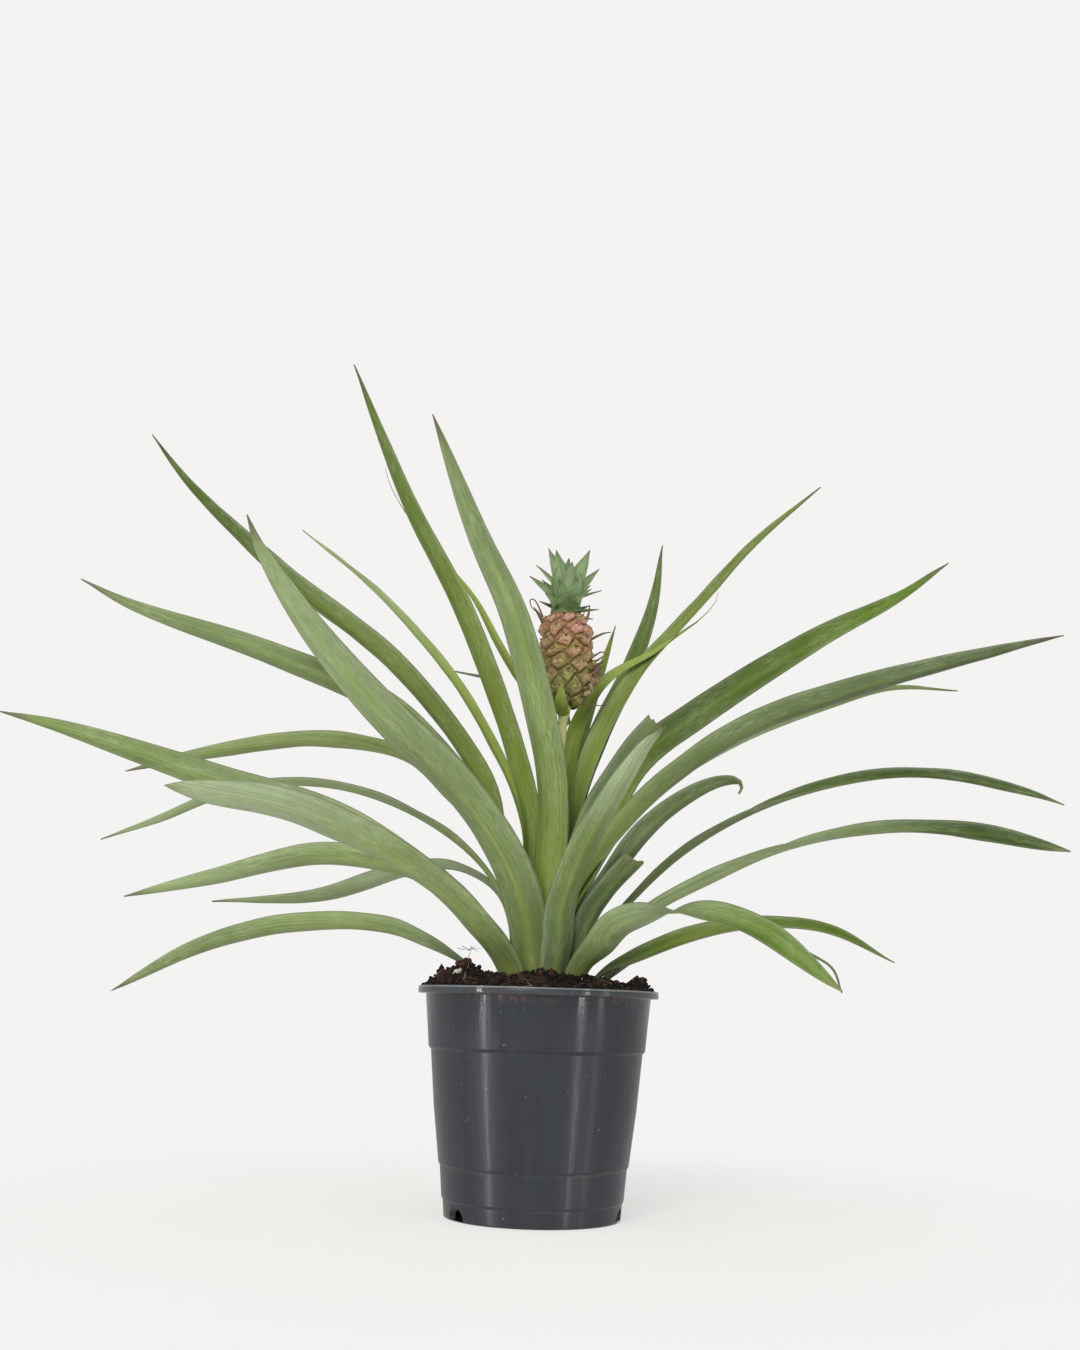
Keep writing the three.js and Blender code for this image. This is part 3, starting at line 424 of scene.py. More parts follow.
def tube(points, radius, sides=6, steps=None):
    """The skin of a thin thread along points."""
    path = Path(points, 10)
    steps = steps or 4 * len(points)
    skin = []
    side = path.tangent(0).orthogonal().normalized()
    for i in range(steps + 1):
        s = i / steps
        tangent = path.tangent(s)
        side = (side - tangent * side.dot(tangent)).normalized()
        other = tangent.cross(side)
        r = radius * lerp(1, 0.35, s)
        for k in range(sides):
            a = 2 * pi * k / sides
            skin.append(path.at(s) + (side * cos(a) + other * sin(a)) * r)
    return skin, ring_faces(steps + 1, sides, capped=True)


# ---- Shader helpers ----


def add(tree, kind, inputs=None, **settings):
    made = tree.nodes.new("ShaderNode" + kind)
    for key, value in settings.items():
        setattr(made, key, value)
    for key, value in (inputs or {}).items():
        if isinstance(value, bpy.types.NodeSocket):
            tree.links.new(value, made.inputs[key])
        else:
            made.inputs[key].default_value = value
    return made


def material(name, paint, **sockets):
    """A material. Its paint gives the colour, the roughness, the relief and how strong and deep that is."""
    made = bpy.data.materials.new(name)
    made.use_nodes = True
    tree = made.node_tree
    surface = tree.nodes["Principled BSDF"]
    for key, value in sockets.items():
        surface.inputs[key.replace("_", " ")].default_value = value
    tint = add(tree, "Attribute", attribute_name="tint").outputs["Color"]
    base, rough, relief, strength, depth = paint(tree, tint, place_on(tree))
    bump = add(tree, "Bump", {"Height": relief, "Strength": strength, "Distance": depth * MM})
    links = [("Base Color", base), ("Roughness", rough), ("Normal", bump.outputs["Normal"])]
    if "Coat_Weight" in sockets:
        links.append(("Coat Normal", bump.outputs["Normal"]))
    for key, value in links:
        tree.links.new(value, surface.inputs[key])
    return made


def place_on(tree):
    """Where a point lies on the object, in metres."""
    return add(tree, "TexCoord").outputs["Object"]


def grain(vector, scale, detail, roughness, stretch=(1, 1, 1)):
    """Noise from 0 to 1, drawn out along an axis where stretch is small."""
    placed = add(vector.id_data, "Mapping", {"Vector": vector, "Scale": stretch}).outputs["Vector"]
    return add(vector.id_data, "TexNoise", {"Vector": placed, "Scale": scale, "Detail": detail,
                                            "Roughness": roughness}).outputs["Fac"]


def remap(value, low, high, out_low=0, out_high=1, way="LINEAR"):
    return add(value.id_data, "MapRange", {
        "Value": value, "From Min": low, "From Max": high, "To Min": out_low, "To Max": out_high,
    }, interpolation_type=way).outputs["Result"]


def multiply(a, b):
    return add(a.id_data, "Math", {0: a, 1: b}, operation="MULTIPLY").outputs["Value"]


def blend(factor, a, b):
    """From one colour to another by a factor; each is a value or a socket, and one is a socket at least."""
    socket = next(v for v in (factor, a, b) if isinstance(v, bpy.types.NodeSocket))
    first, second = (v if isinstance(v, bpy.types.NodeSocket) else (*v, 1) for v in (a, b))
    return add(socket.id_data, "Mix", {0: factor, 6: first, 7: second}, data_type="RGBA").outputs[2]


def shade(base, value, low, high):
    """The base colour, darkened or lightened by a value from 0 to 1."""
    share = remap(value, 0.25, 0.75, low, high)
    return add(base.id_data, "VectorMath", {0: base, "Scale": share}, operation="SCALE").outputs["Vector"]


# ---- Materials ----


def leaf_paint(tree, tint, _):
    """Faint long streaks, soft blotches, pale scurf that lies in short dashes, and a satin skin."""
    place = add(tree, "UVMap", uv_map="UVMap").outputs["UV"]
    streaks = grain(place, 1, 2, 0.55, (1.1, 0.012, 1))
    bands = grain(place, 1, 2, 0.5, (0.3, 0.01, 1))
    dashes = grain(place, 1, 3, 0.6, (2.2, 0.16, 1))
    blotches = grain(place, 1, 4, 0.65, (0.24, 0.08, 1))
    patches = grain(place, 1, 3, 0.6, (0.1, 0.03, 1))
    veins = grain(place, 1, 1, 0.5, (1.9, 0.006, 1))
    base = shade(tint, streaks, 0.81, 1.17)
    base = shade(base, bands, 0.91, 1.08)
    base = shade(base, dashes, 0.91, 1.09)
    base = shade(base, blotches, 0.9, 1.1)
    dark_lines = multiply(remap(veins, 0.58, 0.65), remap(bands, 0.4, 0.6, 0.08, 0.4))
    base = blend(dark_lines, base, colour("3c4c26"))
    scurf = multiply(remap(patches, 0.38, 0.66), remap(dashes, 0.4, 0.66))
    pale = blend(0.5, shade(base, scurf, 1.15, 1.4), colour("b3bda0"))
    base = blend(multiply(scurf, 0.6), base, pale)
    return base, remap(patches, 0.3, 0.7, 0.42, 0.56), streaks, 0.35, 0.25


def pot_paint(tree, tint, place):
    """Slate plastic under a thin gloss: a moulded grain, drawn streaks, scuffs, and dust on its ledges."""
    cloud = grain(place, 22, 5, 0.6)
    flow = grain(place, 150, 3, 0.6, (1, 1, 0.05))
    speck = grain(place, 420, 2, 0.5)
    drawn = grain(place, 420, 2, 0.5, (1, 1, 0.02))
    base = shade(tint, cloud, 0.85, 1.2)
    base = shade(base, flow, 0.85, 1.15)
    base = blend(remap(speck, 0.73, 0.79, 0, 0.5), base, colour("8f8f8d"))
    height = add(tree, "SeparateXYZ", {"Vector": place}).outputs["Z"]
    for ledge, reach, share in POT_LEDGES:
        near = remap(height, (ledge - reach) * MM, ledge * MM)
        below = remap(height, ledge * MM, (ledge + 0.3) * MM, 1, 0)
        dust = multiply(multiply(near, below), remap(cloud, 0.45, 0.62, 0, share))
        base = blend(multiply(dust, remap(speck, 0.4, 0.6)), base, colour("7a5a4e"))
    collar = remap(height, (COLLAR_FOOT + 6) * MM, (POT_TOP - 6) * MM, 1, 0.35)
    rough = multiply(remap(flow, 0.25, 0.75, 0.26, 0.42), collar)
    relief = add(tree, "Math", {0: drawn, 1: multiply(cloud, 0.8)}, operation="ADD").outputs["Value"]
    return base, rough, relief, 0.16, 0.4


def peat_paint(tree, tint, place):
    lumps = grain(place, 420, 5, 0.7)
    fine = grain(place, 1800, 3, 0.6)
    base = shade(tint, lumps, 0.5, 1.4)
    base = blend(remap(fine, 0.64, 0.76, 0, 0.35), base, colour("5a4034"))
    return base, remap(fine, 0.3, 0.7, 0.75, 0.98), lumps, 0.9, 0.8


def fruit_paint(tree, tint, place):
    """Waxy fruitlets with fine streaks and brown flecks."""
    mottle = grain(place, 320, 5, 0.65)
    fleck = grain(place, 900, 3, 0.6)
    upward = grain(place, 700, 3, 0.6, (1, 1, 0.25))
    base = shade(tint, mottle, 0.72, 1.25)
    base = shade(base, upward, 0.85, 1.12)
    base = blend(remap(fleck, 0.6, 0.72, 0, 0.45), base, colour("6d4a33"))
    return base, remap(mottle, 0.3, 0.7, 0.55, 0.75), upward, 0.5, 0.4


def dry_paint(tree, tint, place):
    """Dry, fibrous matter: husks, threads and crumbs of other stuff."""
    fibre = grain(place, 900, 4, 0.65)
    return shade(tint, fibre, 0.6, 1.35), remap(fibre, 0.3, 0.7, 0.73, 0.85), fibre, 0.6, 0.4


LEAF = material("leaf", leaf_paint, Specular_IOR_Level=0.27)
POT = material("pot_plastic", pot_paint, Specular_IOR_Level=0.32, Coat_Weight=0.25, Coat_Roughness=0.16)
PEAT = material("peat", peat_paint, Specular_IOR_Level=0.25)
FRUIT = material("fruit_skin", fruit_paint, Subsurface_Weight=0.06, Subsurface_Radius=(0.002, 0.001, 0.0005))
DRY = material("dry_matter", dry_paint, Specular_IOR_Level=0.3)


# ---- Blades ----


def blade(shape, path, frames, widths, channels, tints, thickness=LEAF_THICKNESS, columns=LEAF_COLUMNS,
          wave=0.0, seed=0.0, torn=0.0):
    """A channelled blade along a path: a top and an underside with a thin edge between them."""
    stations = len(frames) - 1
    points, colours, places = [], [], []
    for i, (side, top) in enumerate(frames):
        s = i / stations
        half = widths[i] / 2
        channel = max(channels[i], 0.02)
        radius = half / (2 * sin(channel))
        for under in (False, True):
            for k in range(columns, -1, -1) if under else range(columns + 1):
                u = sin((k / columns - 0.5) * pi)
                turn = 2 * channel * u
                out = lerp(half * u * cos(channel), radius * sin(turn), ROUND_SHARE)
                rise = lerp(half * abs(u) * sin(channel), radius * (1 - cos(turn)), ROUND_SHARE)
                along = s
                if torn and s > 0.8:
                    rip = noise((u * 2.3 + seed, 7.1, 0)) + 0.3 * noise((u * 6 + seed, 3, 1))
                    along = s - smooth(0.8, 1, s) * (0.5 + rip) * torn / path.length
                ripple = noise((along * path.length / 22, seed, u)) * wave * u * u
                thick = thickness * lerp(0.4, 1, 1 - abs(u) ** 3) * lerp(1, 0.55, s)
                tilt = 1.5 * channel * u
                facing = top * cos(tilt) - side * sin(tilt)
                place = path.at(along) + side * out + top * (rise + ripple)
                points.append(place - facing * thick if under else place)
                colours.append(tints(u, s, under))
                places.append((u * half + (31 if under else 0) + seed * 7, along * path.length + seed * 13))
    count = 2 * (columns + 1)
    faces = [[a, d, c, b] for a, b, c, d in ring_faces(stations + 1, count)]
    last = stations * count
    for k in range(columns):
        faces.append([k, k + 1, count - 2 - k, count - 1 - k])
        faces.append([last + k, last + count - 1 - k, last + count - 2 - k, last + k + 1])
    shape.add(points, faces, colours, places)


def framed(tangent, across, roll=0.0):
    side = (across - tangent * across.dot(tangent)).normalized()
    side.rotate(Quaternion(tangent, roll))
    return side, tangent.cross(side)


def leaf_tints(name, greens, whole, seed):
    foot, middle, outer = (colour(GREENS[g]) for g in greens.split())
    ground, rib, edge, rim = colours("a9b060 93a43c a4ae8c 33382a")
    blunt = name in CUT_ENDS or name in FULL_ENDS
    end = colour("77784f" if blunt else "5d5645")
    start_of_end = 0.985 if blunt else 0.965

    def tint(u, s, is_under):
        reach = s * whole
        base = foot.lerp(middle, smooth(0.12, 0.45, reach)).lerp(outer, smooth(0.45, 0.85, reach))
        base = base.lerp(ground, 0.5 * (1 - smooth(0.02, 0.14, reach)))
        base = base.lerp(rib, exp(-(u / 0.22) ** 2) * (0.34 if is_under else 0.28) * (1 - 0.5 * reach))
        base = base.lerp(edge, 0.14) if is_under else base * 0.97
        base = base * (1 + 0.16 * noise((reach * 5, seed * 3, 0.6 * u)))
        base = base.lerp(edge, smooth(0.66, 0.93, abs(u)) * 0.25)
        base = base.lerp(rim, smooth(0.9, 0.98, abs(u)) * 0.4)
        return base.lerp(end, smooth(start_of_end - 0.03, start_of_end + 0.02, s) * 0.8)

    return tint


def make_leaf(index, name, width, degrees, radius, turn, greens, spine):
    angle = radians(degrees)
    foot = around(angle, radius * ROOT_DRAWN_IN, ROOT_HEIGHT)
    path = Path([foot, *spine])
    heading = Vector(spine[-1]) - foot
    heading = Vector((heading.x, heading.y, 0)).normalized()
    root_across = Vector((-sin(angle), cos(angle), 0))
    blade_across = Vector((-heading.y, heading.x, 0))
    root_channel = min(width / radius / 5, 0.5)
    whole, torn = CUT_ENDS.get(name, (1, 0))
    taper = FULL_ENDS.get(name, LEAF_TAPER)
    least = 0.5 if whole == 1 else 1.2
    frames, widths, channels = [], [], []
    for i in range(LEAF_STATIONS + 1):
        s = i / LEAF_STATIONS
        across = root_across.lerp(blade_across, smooth(0, 0.35, s))
        frames.append(framed(path.tangent(s), across, radians(through(turn, s))))
        full = width * lerp(FOOT_NARROWING, 1, smooth(0, 0.22, s))
        widths.append(max(full * (1 - (s * whole) ** taper) ** LEAF_POINT, least))
        channels.append(through([root_channel, LEAF_CHANNEL, LEAF_CHANNEL, LEAF_TIP_CHANNEL], s))
    shape = Shape()
    tints = leaf_tints(name, greens, whole, index)
    blade(shape, path, frames, widths, channels, tints, wave=0.6, seed=index, torn=torn)
    return shape.piece("blade_" + name, LEAF, ["leaf_" + name])


def small_blade(shape, points, width, base, tip, stations=12, cup=0.35, fullness=2.0, inward=None, seed=0):
    """A short blade, such as a crown leaf or a bract, that narrows to its tip."""
    path = Path(points, 12)
    reach = Vector(points[-1]) - Vector(points[0])
    across = UP.cross(-inward if inward else reach)
    if across.length < 1e-3:
        across = Vector((1, 0, 0))
    frames = [framed(path.tangent(i / stations), across.normalized()) for i in range(stations + 1)]
    widths = [max(width * (1 - (i / stations) ** fullness) ** 1.15, 0.25) for i in range(stations + 1)]

    def tint(u, s, is_under):
        body = base.lerp(colour("aab59a"), smooth(0.55, 1, abs(u)) * 0.18) * (0.92 if is_under else 1)
        return (body * (1 + 0.2 * noise((s * 4, seed * 1.7, u)))).lerp(tip, smooth(0.8, 1, s) * 0.75)

    blade(shape, path, frames, widths, [cup] * (stations + 1), tint, 0.7, 8, seed=seed + 50)


# ---- Pot ----


def rounded(profile, radius):
    """The profile with each corner replaced by a short arc."""
    out = [profile[0]]
    for before, corner, after in zip(profile, profile[1:], profile[2:]):
        a, b, c = Vector(before), Vector(corner), Vector(after)
        cut = min(radius, (b - a).length * 0.45, (c - b).length * 0.45)
        start, end = b + (a - b).normalized() * cut, b + (c - b).normalized() * cut
        for t in (0, 0.33, 0.67, 1):
            out.append(tuple(start.lerp(b, t).lerp(b.lerp(end, t), t)))
    out.append(profile[-1])
    return out


def wall_profile(inset):
    top_radius = COLLAR_FOOT_RADIUS - 1.2
    middle = (LOWER_STEP_TOP + COLLAR_FOOT) / 2
    bulge = (LOWER_STEP_RADIUS + top_radius) / 2 + 0.4
    line = [
        (BASE_STEP_RADIUS - 0.6, BASE_STEP_TOP), (BASE_STEP_RADIUS, BASE_STEP_TOP + 0.7),
        (LOWER_STEP_RADIUS - 0.7, LOWER_STEP_TOP), (LOWER_STEP_RADIUS, LOWER_STEP_TOP + 0.8),
        (bulge, middle), (top_radius, COLLAR_FOOT), (COLLAR_FOOT_RADIUS, COLLAR_FOOT + 1.2),
        (lerp(COLLAR_FOOT_RADIUS, COLLAR_TOP_RADIUS, 0.36), COLLAR_BEND),
        (COLLAR_TOP_RADIUS, POT_TOP - RIM_BAND),
    ]
    return [(radius - inset, height) for radius, height in line]


def lathe(profile, segments):
    n = len(profile)
    points = [around(2 * pi * k / segments, r, z) for k in range(segments) for r, z in profile]
    faces = []
    for k in range(segments):
        here, there = k * n, (k + 1) % segments * n
        faces += [[here + j, there + j, there + j + 1, here + j + 1] for j in range(n - 1)]
    return points, faces


def make_pot():
    inner_foot = FOOT_RADIUS - FOOT_WIDTH
    profile = [(0.01, FLOOR_UNDERSIDE), (inner_foot, FLOOR_UNDERSIDE), (inner_foot, 0), (FOOT_RADIUS, 0)]
    profile += wall_profile(0)
    profile += [(RIM_RADIUS - 0.3, POT_TOP - RIM_BAND), (RIM_RADIUS, POT_TOP - RIM_BAND + 0.6)]
    profile += [(RIM_RADIUS - inset, POT_TOP - drop) for inset, drop in RIM_LIP]
    profile += [(COLLAR_TOP_RADIUS - WALL, POT_TOP), *wall_profile(WALL)[::-1]]
    profile += [(FOOT_RADIUS - WALL, FLOOR_TOP), (0.01, FLOOR_TOP)]
    # The wall tone is the plastic's own slate. The rim band is painted lighter, as painted light from above,
    # and its top edge is a thin painted highlight. The last tone is painted shade for the hollow under the
    # foot.
    wall, rim, lip_highlight, hollow_shade = colours("23272c 363a3f 6d7073 0c0d0e")
    shape = Shape()
    shape.add(*lathe(rounded(profile, 0.5), POT_SEGMENTS), wall)
    pot = shape.piece("pot_shell", POT, ["pot"], sharp=POT_SHARP)
    merge = bmesh.new()
    merge.from_mesh(pot.data)
    bmesh.ops.remove_doubles(merge, verts=merge.verts, dist=0.02 * MM)
    merge.to_mesh(pot.data)
    merge.free()
    for degrees in NOTCH_ANGLES:
        cut_notch(pot, degrees)
    tints = []
    for v in pot.data.vertices:
        place, reach = v.co / MM, v.co.xy.length / MM
        tone = wall
        # Painted light: the rim band is lighter than the wall, and its top edge is a thin painted highlight.
        if place.z > POT_TOP - RIM_BAND - 0.1 and reach > COLLAR_TOP_RADIUS + 1:
            tone = lip_highlight if place.z > POT_TOP - 0.8 else rim
        # Painted shade: everything below the base step and inside the foot ring is painted almost black.
        if place.z < BASE_STEP_TOP and reach < FOOT_RADIUS - 1:
            tone = hollow_shade
        tints += [*tone, 1.0]
    pot.data.attributes["tint"].data.foreach_set("color", tints)
    pot.data.set_sharp_from_angle(angle=POT_SHARP)
    return pot


def cut_notch(pot, degrees):
    """Cuts the arched drain notch out of the foot, at its angle round the pot from the front."""
    steps = 14
    arch = [Vector((-NOTCH_WIDTH / 2, 0, -1)), Vector((NOTCH_WIDTH / 2, 0, -1))]
    for k in range(steps + 1):
        a = pi * k / steps
        arch.append(Vector((NOTCH_WIDTH / 2 * cos(a), 0, NOTCH_HEIGHT * sin(a))))
    near, far = -(BASE_STEP_RADIUS + 2), -(FOOT_RADIUS - 6)
    count = len(arch)
    points = [p + Vector((0, y, 0)) for y in (near, far) for p in arch]
    faces = [list(range(count)), list(range(2 * count - 1, count - 1, -1))]
    faces += [[k, k + count, (k + 1) % count + count, (k + 1) % count] for k in range(count)]
    turn = Matrix.Rotation(radians(degrees), 4, "Z")
    mesh = bpy.data.meshes.new("notch_tool")
    mesh.from_pydata([(turn @ p) * MM for p in points], [], faces)
    tool = put("notch_tool", mesh)
    modifier = pot.modifiers.new("notch", "BOOLEAN")
    modifier.operation = "DIFFERENCE"
    modifier.solver = "EXACT"
    modifier.object = tool
    with bpy.context.temp_override(object=pot, active_object=pot):
        bpy.ops.object.modifier_apply(modifier=modifier.name)
    bpy.data.objects.remove(tool)


# ---- Peat ----


def soil_height(x, y):
    away = min(hypot(x, y) / SOIL_RADIUS, 1)
    mounds = sum(height * exp(-((x - a) ** 2 + (y - b) ** 2) / spread ** 2)
                 for (a, b), height, spread in SOIL_MOUNDS)
    rim_share = lerp(1, 0.75, smooth(0.9, 1, away))
    lumps = fractal((x / 7, y / 7, 3.3), 0.8, 2.1, 4) * 1.1
    return lerp(SOIL_CROWN, SOIL_RIM, away * away) + mounds * rim_share + lumps


def on_heap(angle, radius):
    x, y = radius * cos(angle), radius * sin(angle)
    return Vector((x, y, soil_height(x, y)))


def make_peat():
    dark, red = colours("1c1512 33221b")
    angles = [2 * pi * k / SOIL_SPOKES for k in range(SOIL_SPOKES)]
    points = []
    for ring in range(SOIL_RINGS + 1):
        points += [on_heap(a, SOIL_RADIUS * ring / SOIL_RINGS) for a in angles]
    tints = [dark.lerp(red, smooth(-0.1, 0.5, noise((p.x / 9, p.y / 9, 8)))) for p in points]
    for radius, height in wall_profile(WALL + 0.3)[::-1][1:] + [(42, SOIL_FOOT), (0.1, SOIL_FOOT)]:
        points += [around(a, radius, height) for a in angles]
        tints += [dark] * SOIL_SPOKES
    faces = [[a, d, c, b] for a, b, c, d in ring_faces(len(points) // SOIL_SPOKES, SOIL_SPOKES)]
    shape = Shape()
    shape.add(points, faces, tints)
    return shape.piece("peat_heap", PEAT, ["soil"])


def lump(centre, size, draw, squash=0.75):
    """A rough crumb: a small ball with its points pushed in and out."""
    ball = bmesh.new()
    bmesh.ops.create_icosphere(ball, subdivisions=2 if size > 0.9 else 1, radius=1)
    turn = Euler([draw.uniform(0, 6.28) for _ in range(3)]).to_matrix()
    seed = draw.uniform(0, 90)
    stretch = Vector((draw.uniform(0.7, 1.4), draw.uniform(0.6, 1.1), squash))
    points = []
    for v in ball.verts:
        rough = 1 + 0.55 * noise(v.co * 1.6 + Vector((seed, 0, 0)))
        points.append(centre + turn @ (v.co * stretch) * size * rough)
    faces = [[v.index for v in f.verts] for f in ball.faces]
    ball.free()
    return points, faces


def on_soil(draw, low=12.0, high=54.0):
    a = draw.uniform(0, 2 * pi)
    return on_heap(a, sqrt(draw.uniform((low / high) ** 2, 1)) * high)


def make_crumbs():
    draw = random.Random(11)
    kinds = colours("15100e 1a1412 211815 2b1f1a 110d0b 3d2b24")
    shape = Shape()
    for _ in range(CRUMBS):
        place = on_soil(draw)
        size = 0.35 + 1.5 * draw.random() ** 4
        shape.add(*lump(place + UP * size * 0.3, size, draw), draw.choice(kinds))
    # Peat that has spilt onto the rim, at the left and the right.
    for direction, spread, count in ((186, 16, 90), (-6, 12, 40)):
        for _ in range(count):
            a = radians(direction + draw.gauss(0, spread / 2))
            radius = 53.5 + 4.3 * draw.random() ** 1.6
            size = 0.4 + 0.8 * draw.random()
            lift = max(POT_TOP, on_heap(a, 53).z - (radius - 53) * 1.2)
            shape.add(*lump(around(a, radius, lift + size * 0.4), size, draw), draw.choice(kinds[:4]))
    # The reddish fibrous lump on the left mound.
    for _ in range(26):
        place = Vector((-37.5 + draw.gauss(0, 2), -17 + draw.gauss(0, 1.6), 0))
        place.z = soil_height(place.x, place.y) + draw.uniform(-0.2, 1.1)
        skin = lump(place, draw.uniform(0.8, 1.7), draw)
        shape.add(*skin, draw.choice(colours("4a3022 573a28 3b271d")))
    return shape.piece("peat_crumbs", PEAT)


def make_perlite():
    draw = random.Random(5)
    shape = Shape()
    places = [(-40.5, -22.5, 1.5), (-38.6, -22.8, 1.2)]
    places += [(p.x, p.y, draw.uniform(0.35, 0.8)) for p in (on_soil(draw, 20) for _ in range(16))]
    for x, y, size in places:
        skin = lump(Vector((x, y, soil_height(x, y) + size * 0.5)), size, draw)
        shape.add(*skin, draw.choice(colours("d9d4c8 c8c0b0 e4e0d6")))
    return shape.piece("perlite", DRY)


def make_fibres():
    draw = random.Random(23)
    shape = Shape()
    for _ in range(FIBRES):
        start = on_soil(draw, 26)
        heading = draw.uniform(0, 2 * pi)
        points = [start - UP * 0.3]
        for _ in range(4):
            heading += draw.uniform(-0.6, 0.6)
            place = points[-1] + around(heading) * draw.uniform(2, 4)
            if hypot(place.x, place.y) > 54:
                break
            place.z = soil_height(place.x, place.y) + draw.uniform(0.1, 1.3)
            points.append(place)
        if len(points) > 2:
            skin = tube(points, draw.uniform(0.1, 0.22), 5)
            shape.add(*skin, draw.choice(colours("7d5a48 5e4034 9a7a66 4a332b")))
    for points in SPRIG:
        shape.add(*tube(points, 0.17, 5), colour("5a5653"))
    return shape.piece("peat_fibres", DRY)


# ---- Stalk, fruit and crown ----


def make_stalk():
    path = Path([(0, 0, 97), (1, 0.5, 140), (5, 3, 205), (8, 4, 240), (9, 4, 257)])
    sides, steps = 16, 40
    points, tints = [], []
    for i in range(steps + 1):
        s = i / steps
        radius = lerp(5.4, 2.3, smooth(0.1, 0.5, s)) + 0.1 * sin(s * 60) + 1.4 * smooth(0.94, 1, s)
        points += [path.at(s) + around(2 * pi * k / sides, radius) for k in range(sides)]
        tints += [colour("7f9440").lerp(colour("c6c88a"), smooth(0.84, 0.88, s))] * sides
    shape = Shape()
    shape.add(points, ring_faces(steps + 1, sides, capped=True), tints)
    for index, (line, width) in enumerate(STALK_BRACTS):
        small_blade(shape, line, width, colour("8b9c36"), colour("8a7d46"), cup=0.45, fullness=4, seed=index)
    return shape.piece("stalk", LEAF, ["stem"])


def fruit_point(angle, level, lift):
    """A point on the fruit: round its axis, up it from 0 to 1, and lifted off its grooves."""
    level = min(max(level, 0.0), 1.0)
    m = abs(2 * level - 1)
    full = 5.0 if level > 0.5 else 3.6
    radius = FRUIT_RADIUS * sqrt(max(1 - 0.85 * m ** full, 0)) + lift * (1 - 0.4 * m ** 8)
    return FRUIT_FOOT.lerp(FRUIT_HEAD, level) + around(angle, radius)


def groove_corner(row, corner):
    down = (corner + row) % 2 == 0
    place = Vector((row * 1.7, corner % (2 * FRUIT_EYES) * 2.3, 4))
    angle = (corner + row * FRUIT_TWIST + 0.75 * noise(place)) * pi / FRUIT_EYES
    level = (row + (-ROW_ZIGZAG if down else ROW_ZIGZAG) + 0.5 * noise(place + UP)) / FRUIT_ROWS
    return angle, level


# The tones of a fruitlet's face, its scale and its groove: unripe, half ripe and ripe, and the ripeness
# at which each change starts and ends.
FRUIT_TONES = [
    ("6f7638 93764a ad7464", (0.15, 0.6), (0.6, 0.95)), ("949554 b3926a cf9888", (0.1, 0.55), (0.6, 0.95)),
    ("626a2c 766732 8e6046", (0.3, 0.7), (0.75, 1)),
]
# Blots on the fruit: their tone, where their noise starts and is full, its scale and place, and their share.
FRUIT_BLOTS = [
    ("8f9444", 0.05, 0.4, 0.31, 0, 0.6), ("c9a284", 0.1, 0.5, 0.8, 9, 0.5),
    ("5f4430", 0.1, 0.45, 0.7, 40, 0.55),
]


def fruit_tones(row, draw):
    """The tones of one fruitlet: riper and pinker in the higher rows, greener in the lower ones."""
    ripe = min(max(row / (FRUIT_ROWS - 1) + draw.uniform(-0.16, 0.16), 0), 1)
    for tones, first, second in FRUIT_TONES:
        green, brown, pink = colours(tones)
        yield green.lerp(brown, smooth(*first, ripe)).lerp(pink, smooth(*second, ripe))


def fruitlet(shape, row, middle, draw):
    """A rounded bulge with a sunken brown eye and a pointed scale that covers its lower half."""
    face, scale, groove = fruit_tones(row, draw)
    outline = [groove_corner(r, middle + step)
               for r, step in ((row, -1), (row, 0), (row, 1), (row + 1, 1), (row + 1, 0), (row + 1, -1))]
    angle = sum(a for a, _ in outline) / 6
    level = sum(l for _, l in outline) / 6
    swell, lean = draw.uniform(0.8, 1.2), draw.uniform(-0.12, 0.12)
    ring = []
    for (a0, l0), (a1, l1) in zip(outline, outline[1:] + outline[:1]):
        ring += [(lerp(a0, a1, k / 6), lerp(l0, l1, k / 6)) for k in range(6)]
    points, tints = [], []
    for share in FRUITLET_SHARES:
        inner = smooth(1, 0.8, share)
        for a, l in ring:
            across = (a - angle) * FRUIT_EYES / pi * share
            upward = (l - level) * FRUIT_ROWS * share
            dome = 3.0 * (1 - share ** 4) * sqrt(max(1 - 0.75 * (across ** 2 + (upward / 0.85) ** 2), 0.05))
            eye = exp(-((across - lean) ** 2 + (upward - 0.1) ** 2) / 0.02)
            fold = 0.4 - 0.9 * abs(across - lean) - upward
            flap = smooth(0.0, 0.1, fold) * inner
            where = lerp(angle, a, share), lerp(level, l, share)
            flat = fruit_point(*where, 0)
            rough = noise(flat * 0.9) + 0.5 * noise(flat * 2.1)
            lift = (dome + 0.6 * flap) * swell - 0.9 * eye + 0.75 * rough * inner
            points.append(fruit_point(*where, lift))
            tone = face.lerp(scale, flap)
            for blot, low, high, scaling, rise, most in FRUIT_BLOTS:
                tone = tone.lerp(colour(blot), smooth(low, high, noise(flat * scaling + UP * rise)) * most)
            tone = tone.lerp(colour("5b4228"), 0.6 * exp(-(fold / 0.07) ** 2) * inner)
            tone = tone.lerp(groove, 0.75 * smooth(0.86, 0.98, share))
            tints.append(tone.lerp(colour("40241c"), 0.9 * eye))
    faces = ring_faces(len(FRUITLET_SHARES), len(ring))
    faces.append(list(range(len(points) - len(ring), len(points))))
    shape.add(points, faces, tints)
    add_eye(shape, row, angle, level, draw)


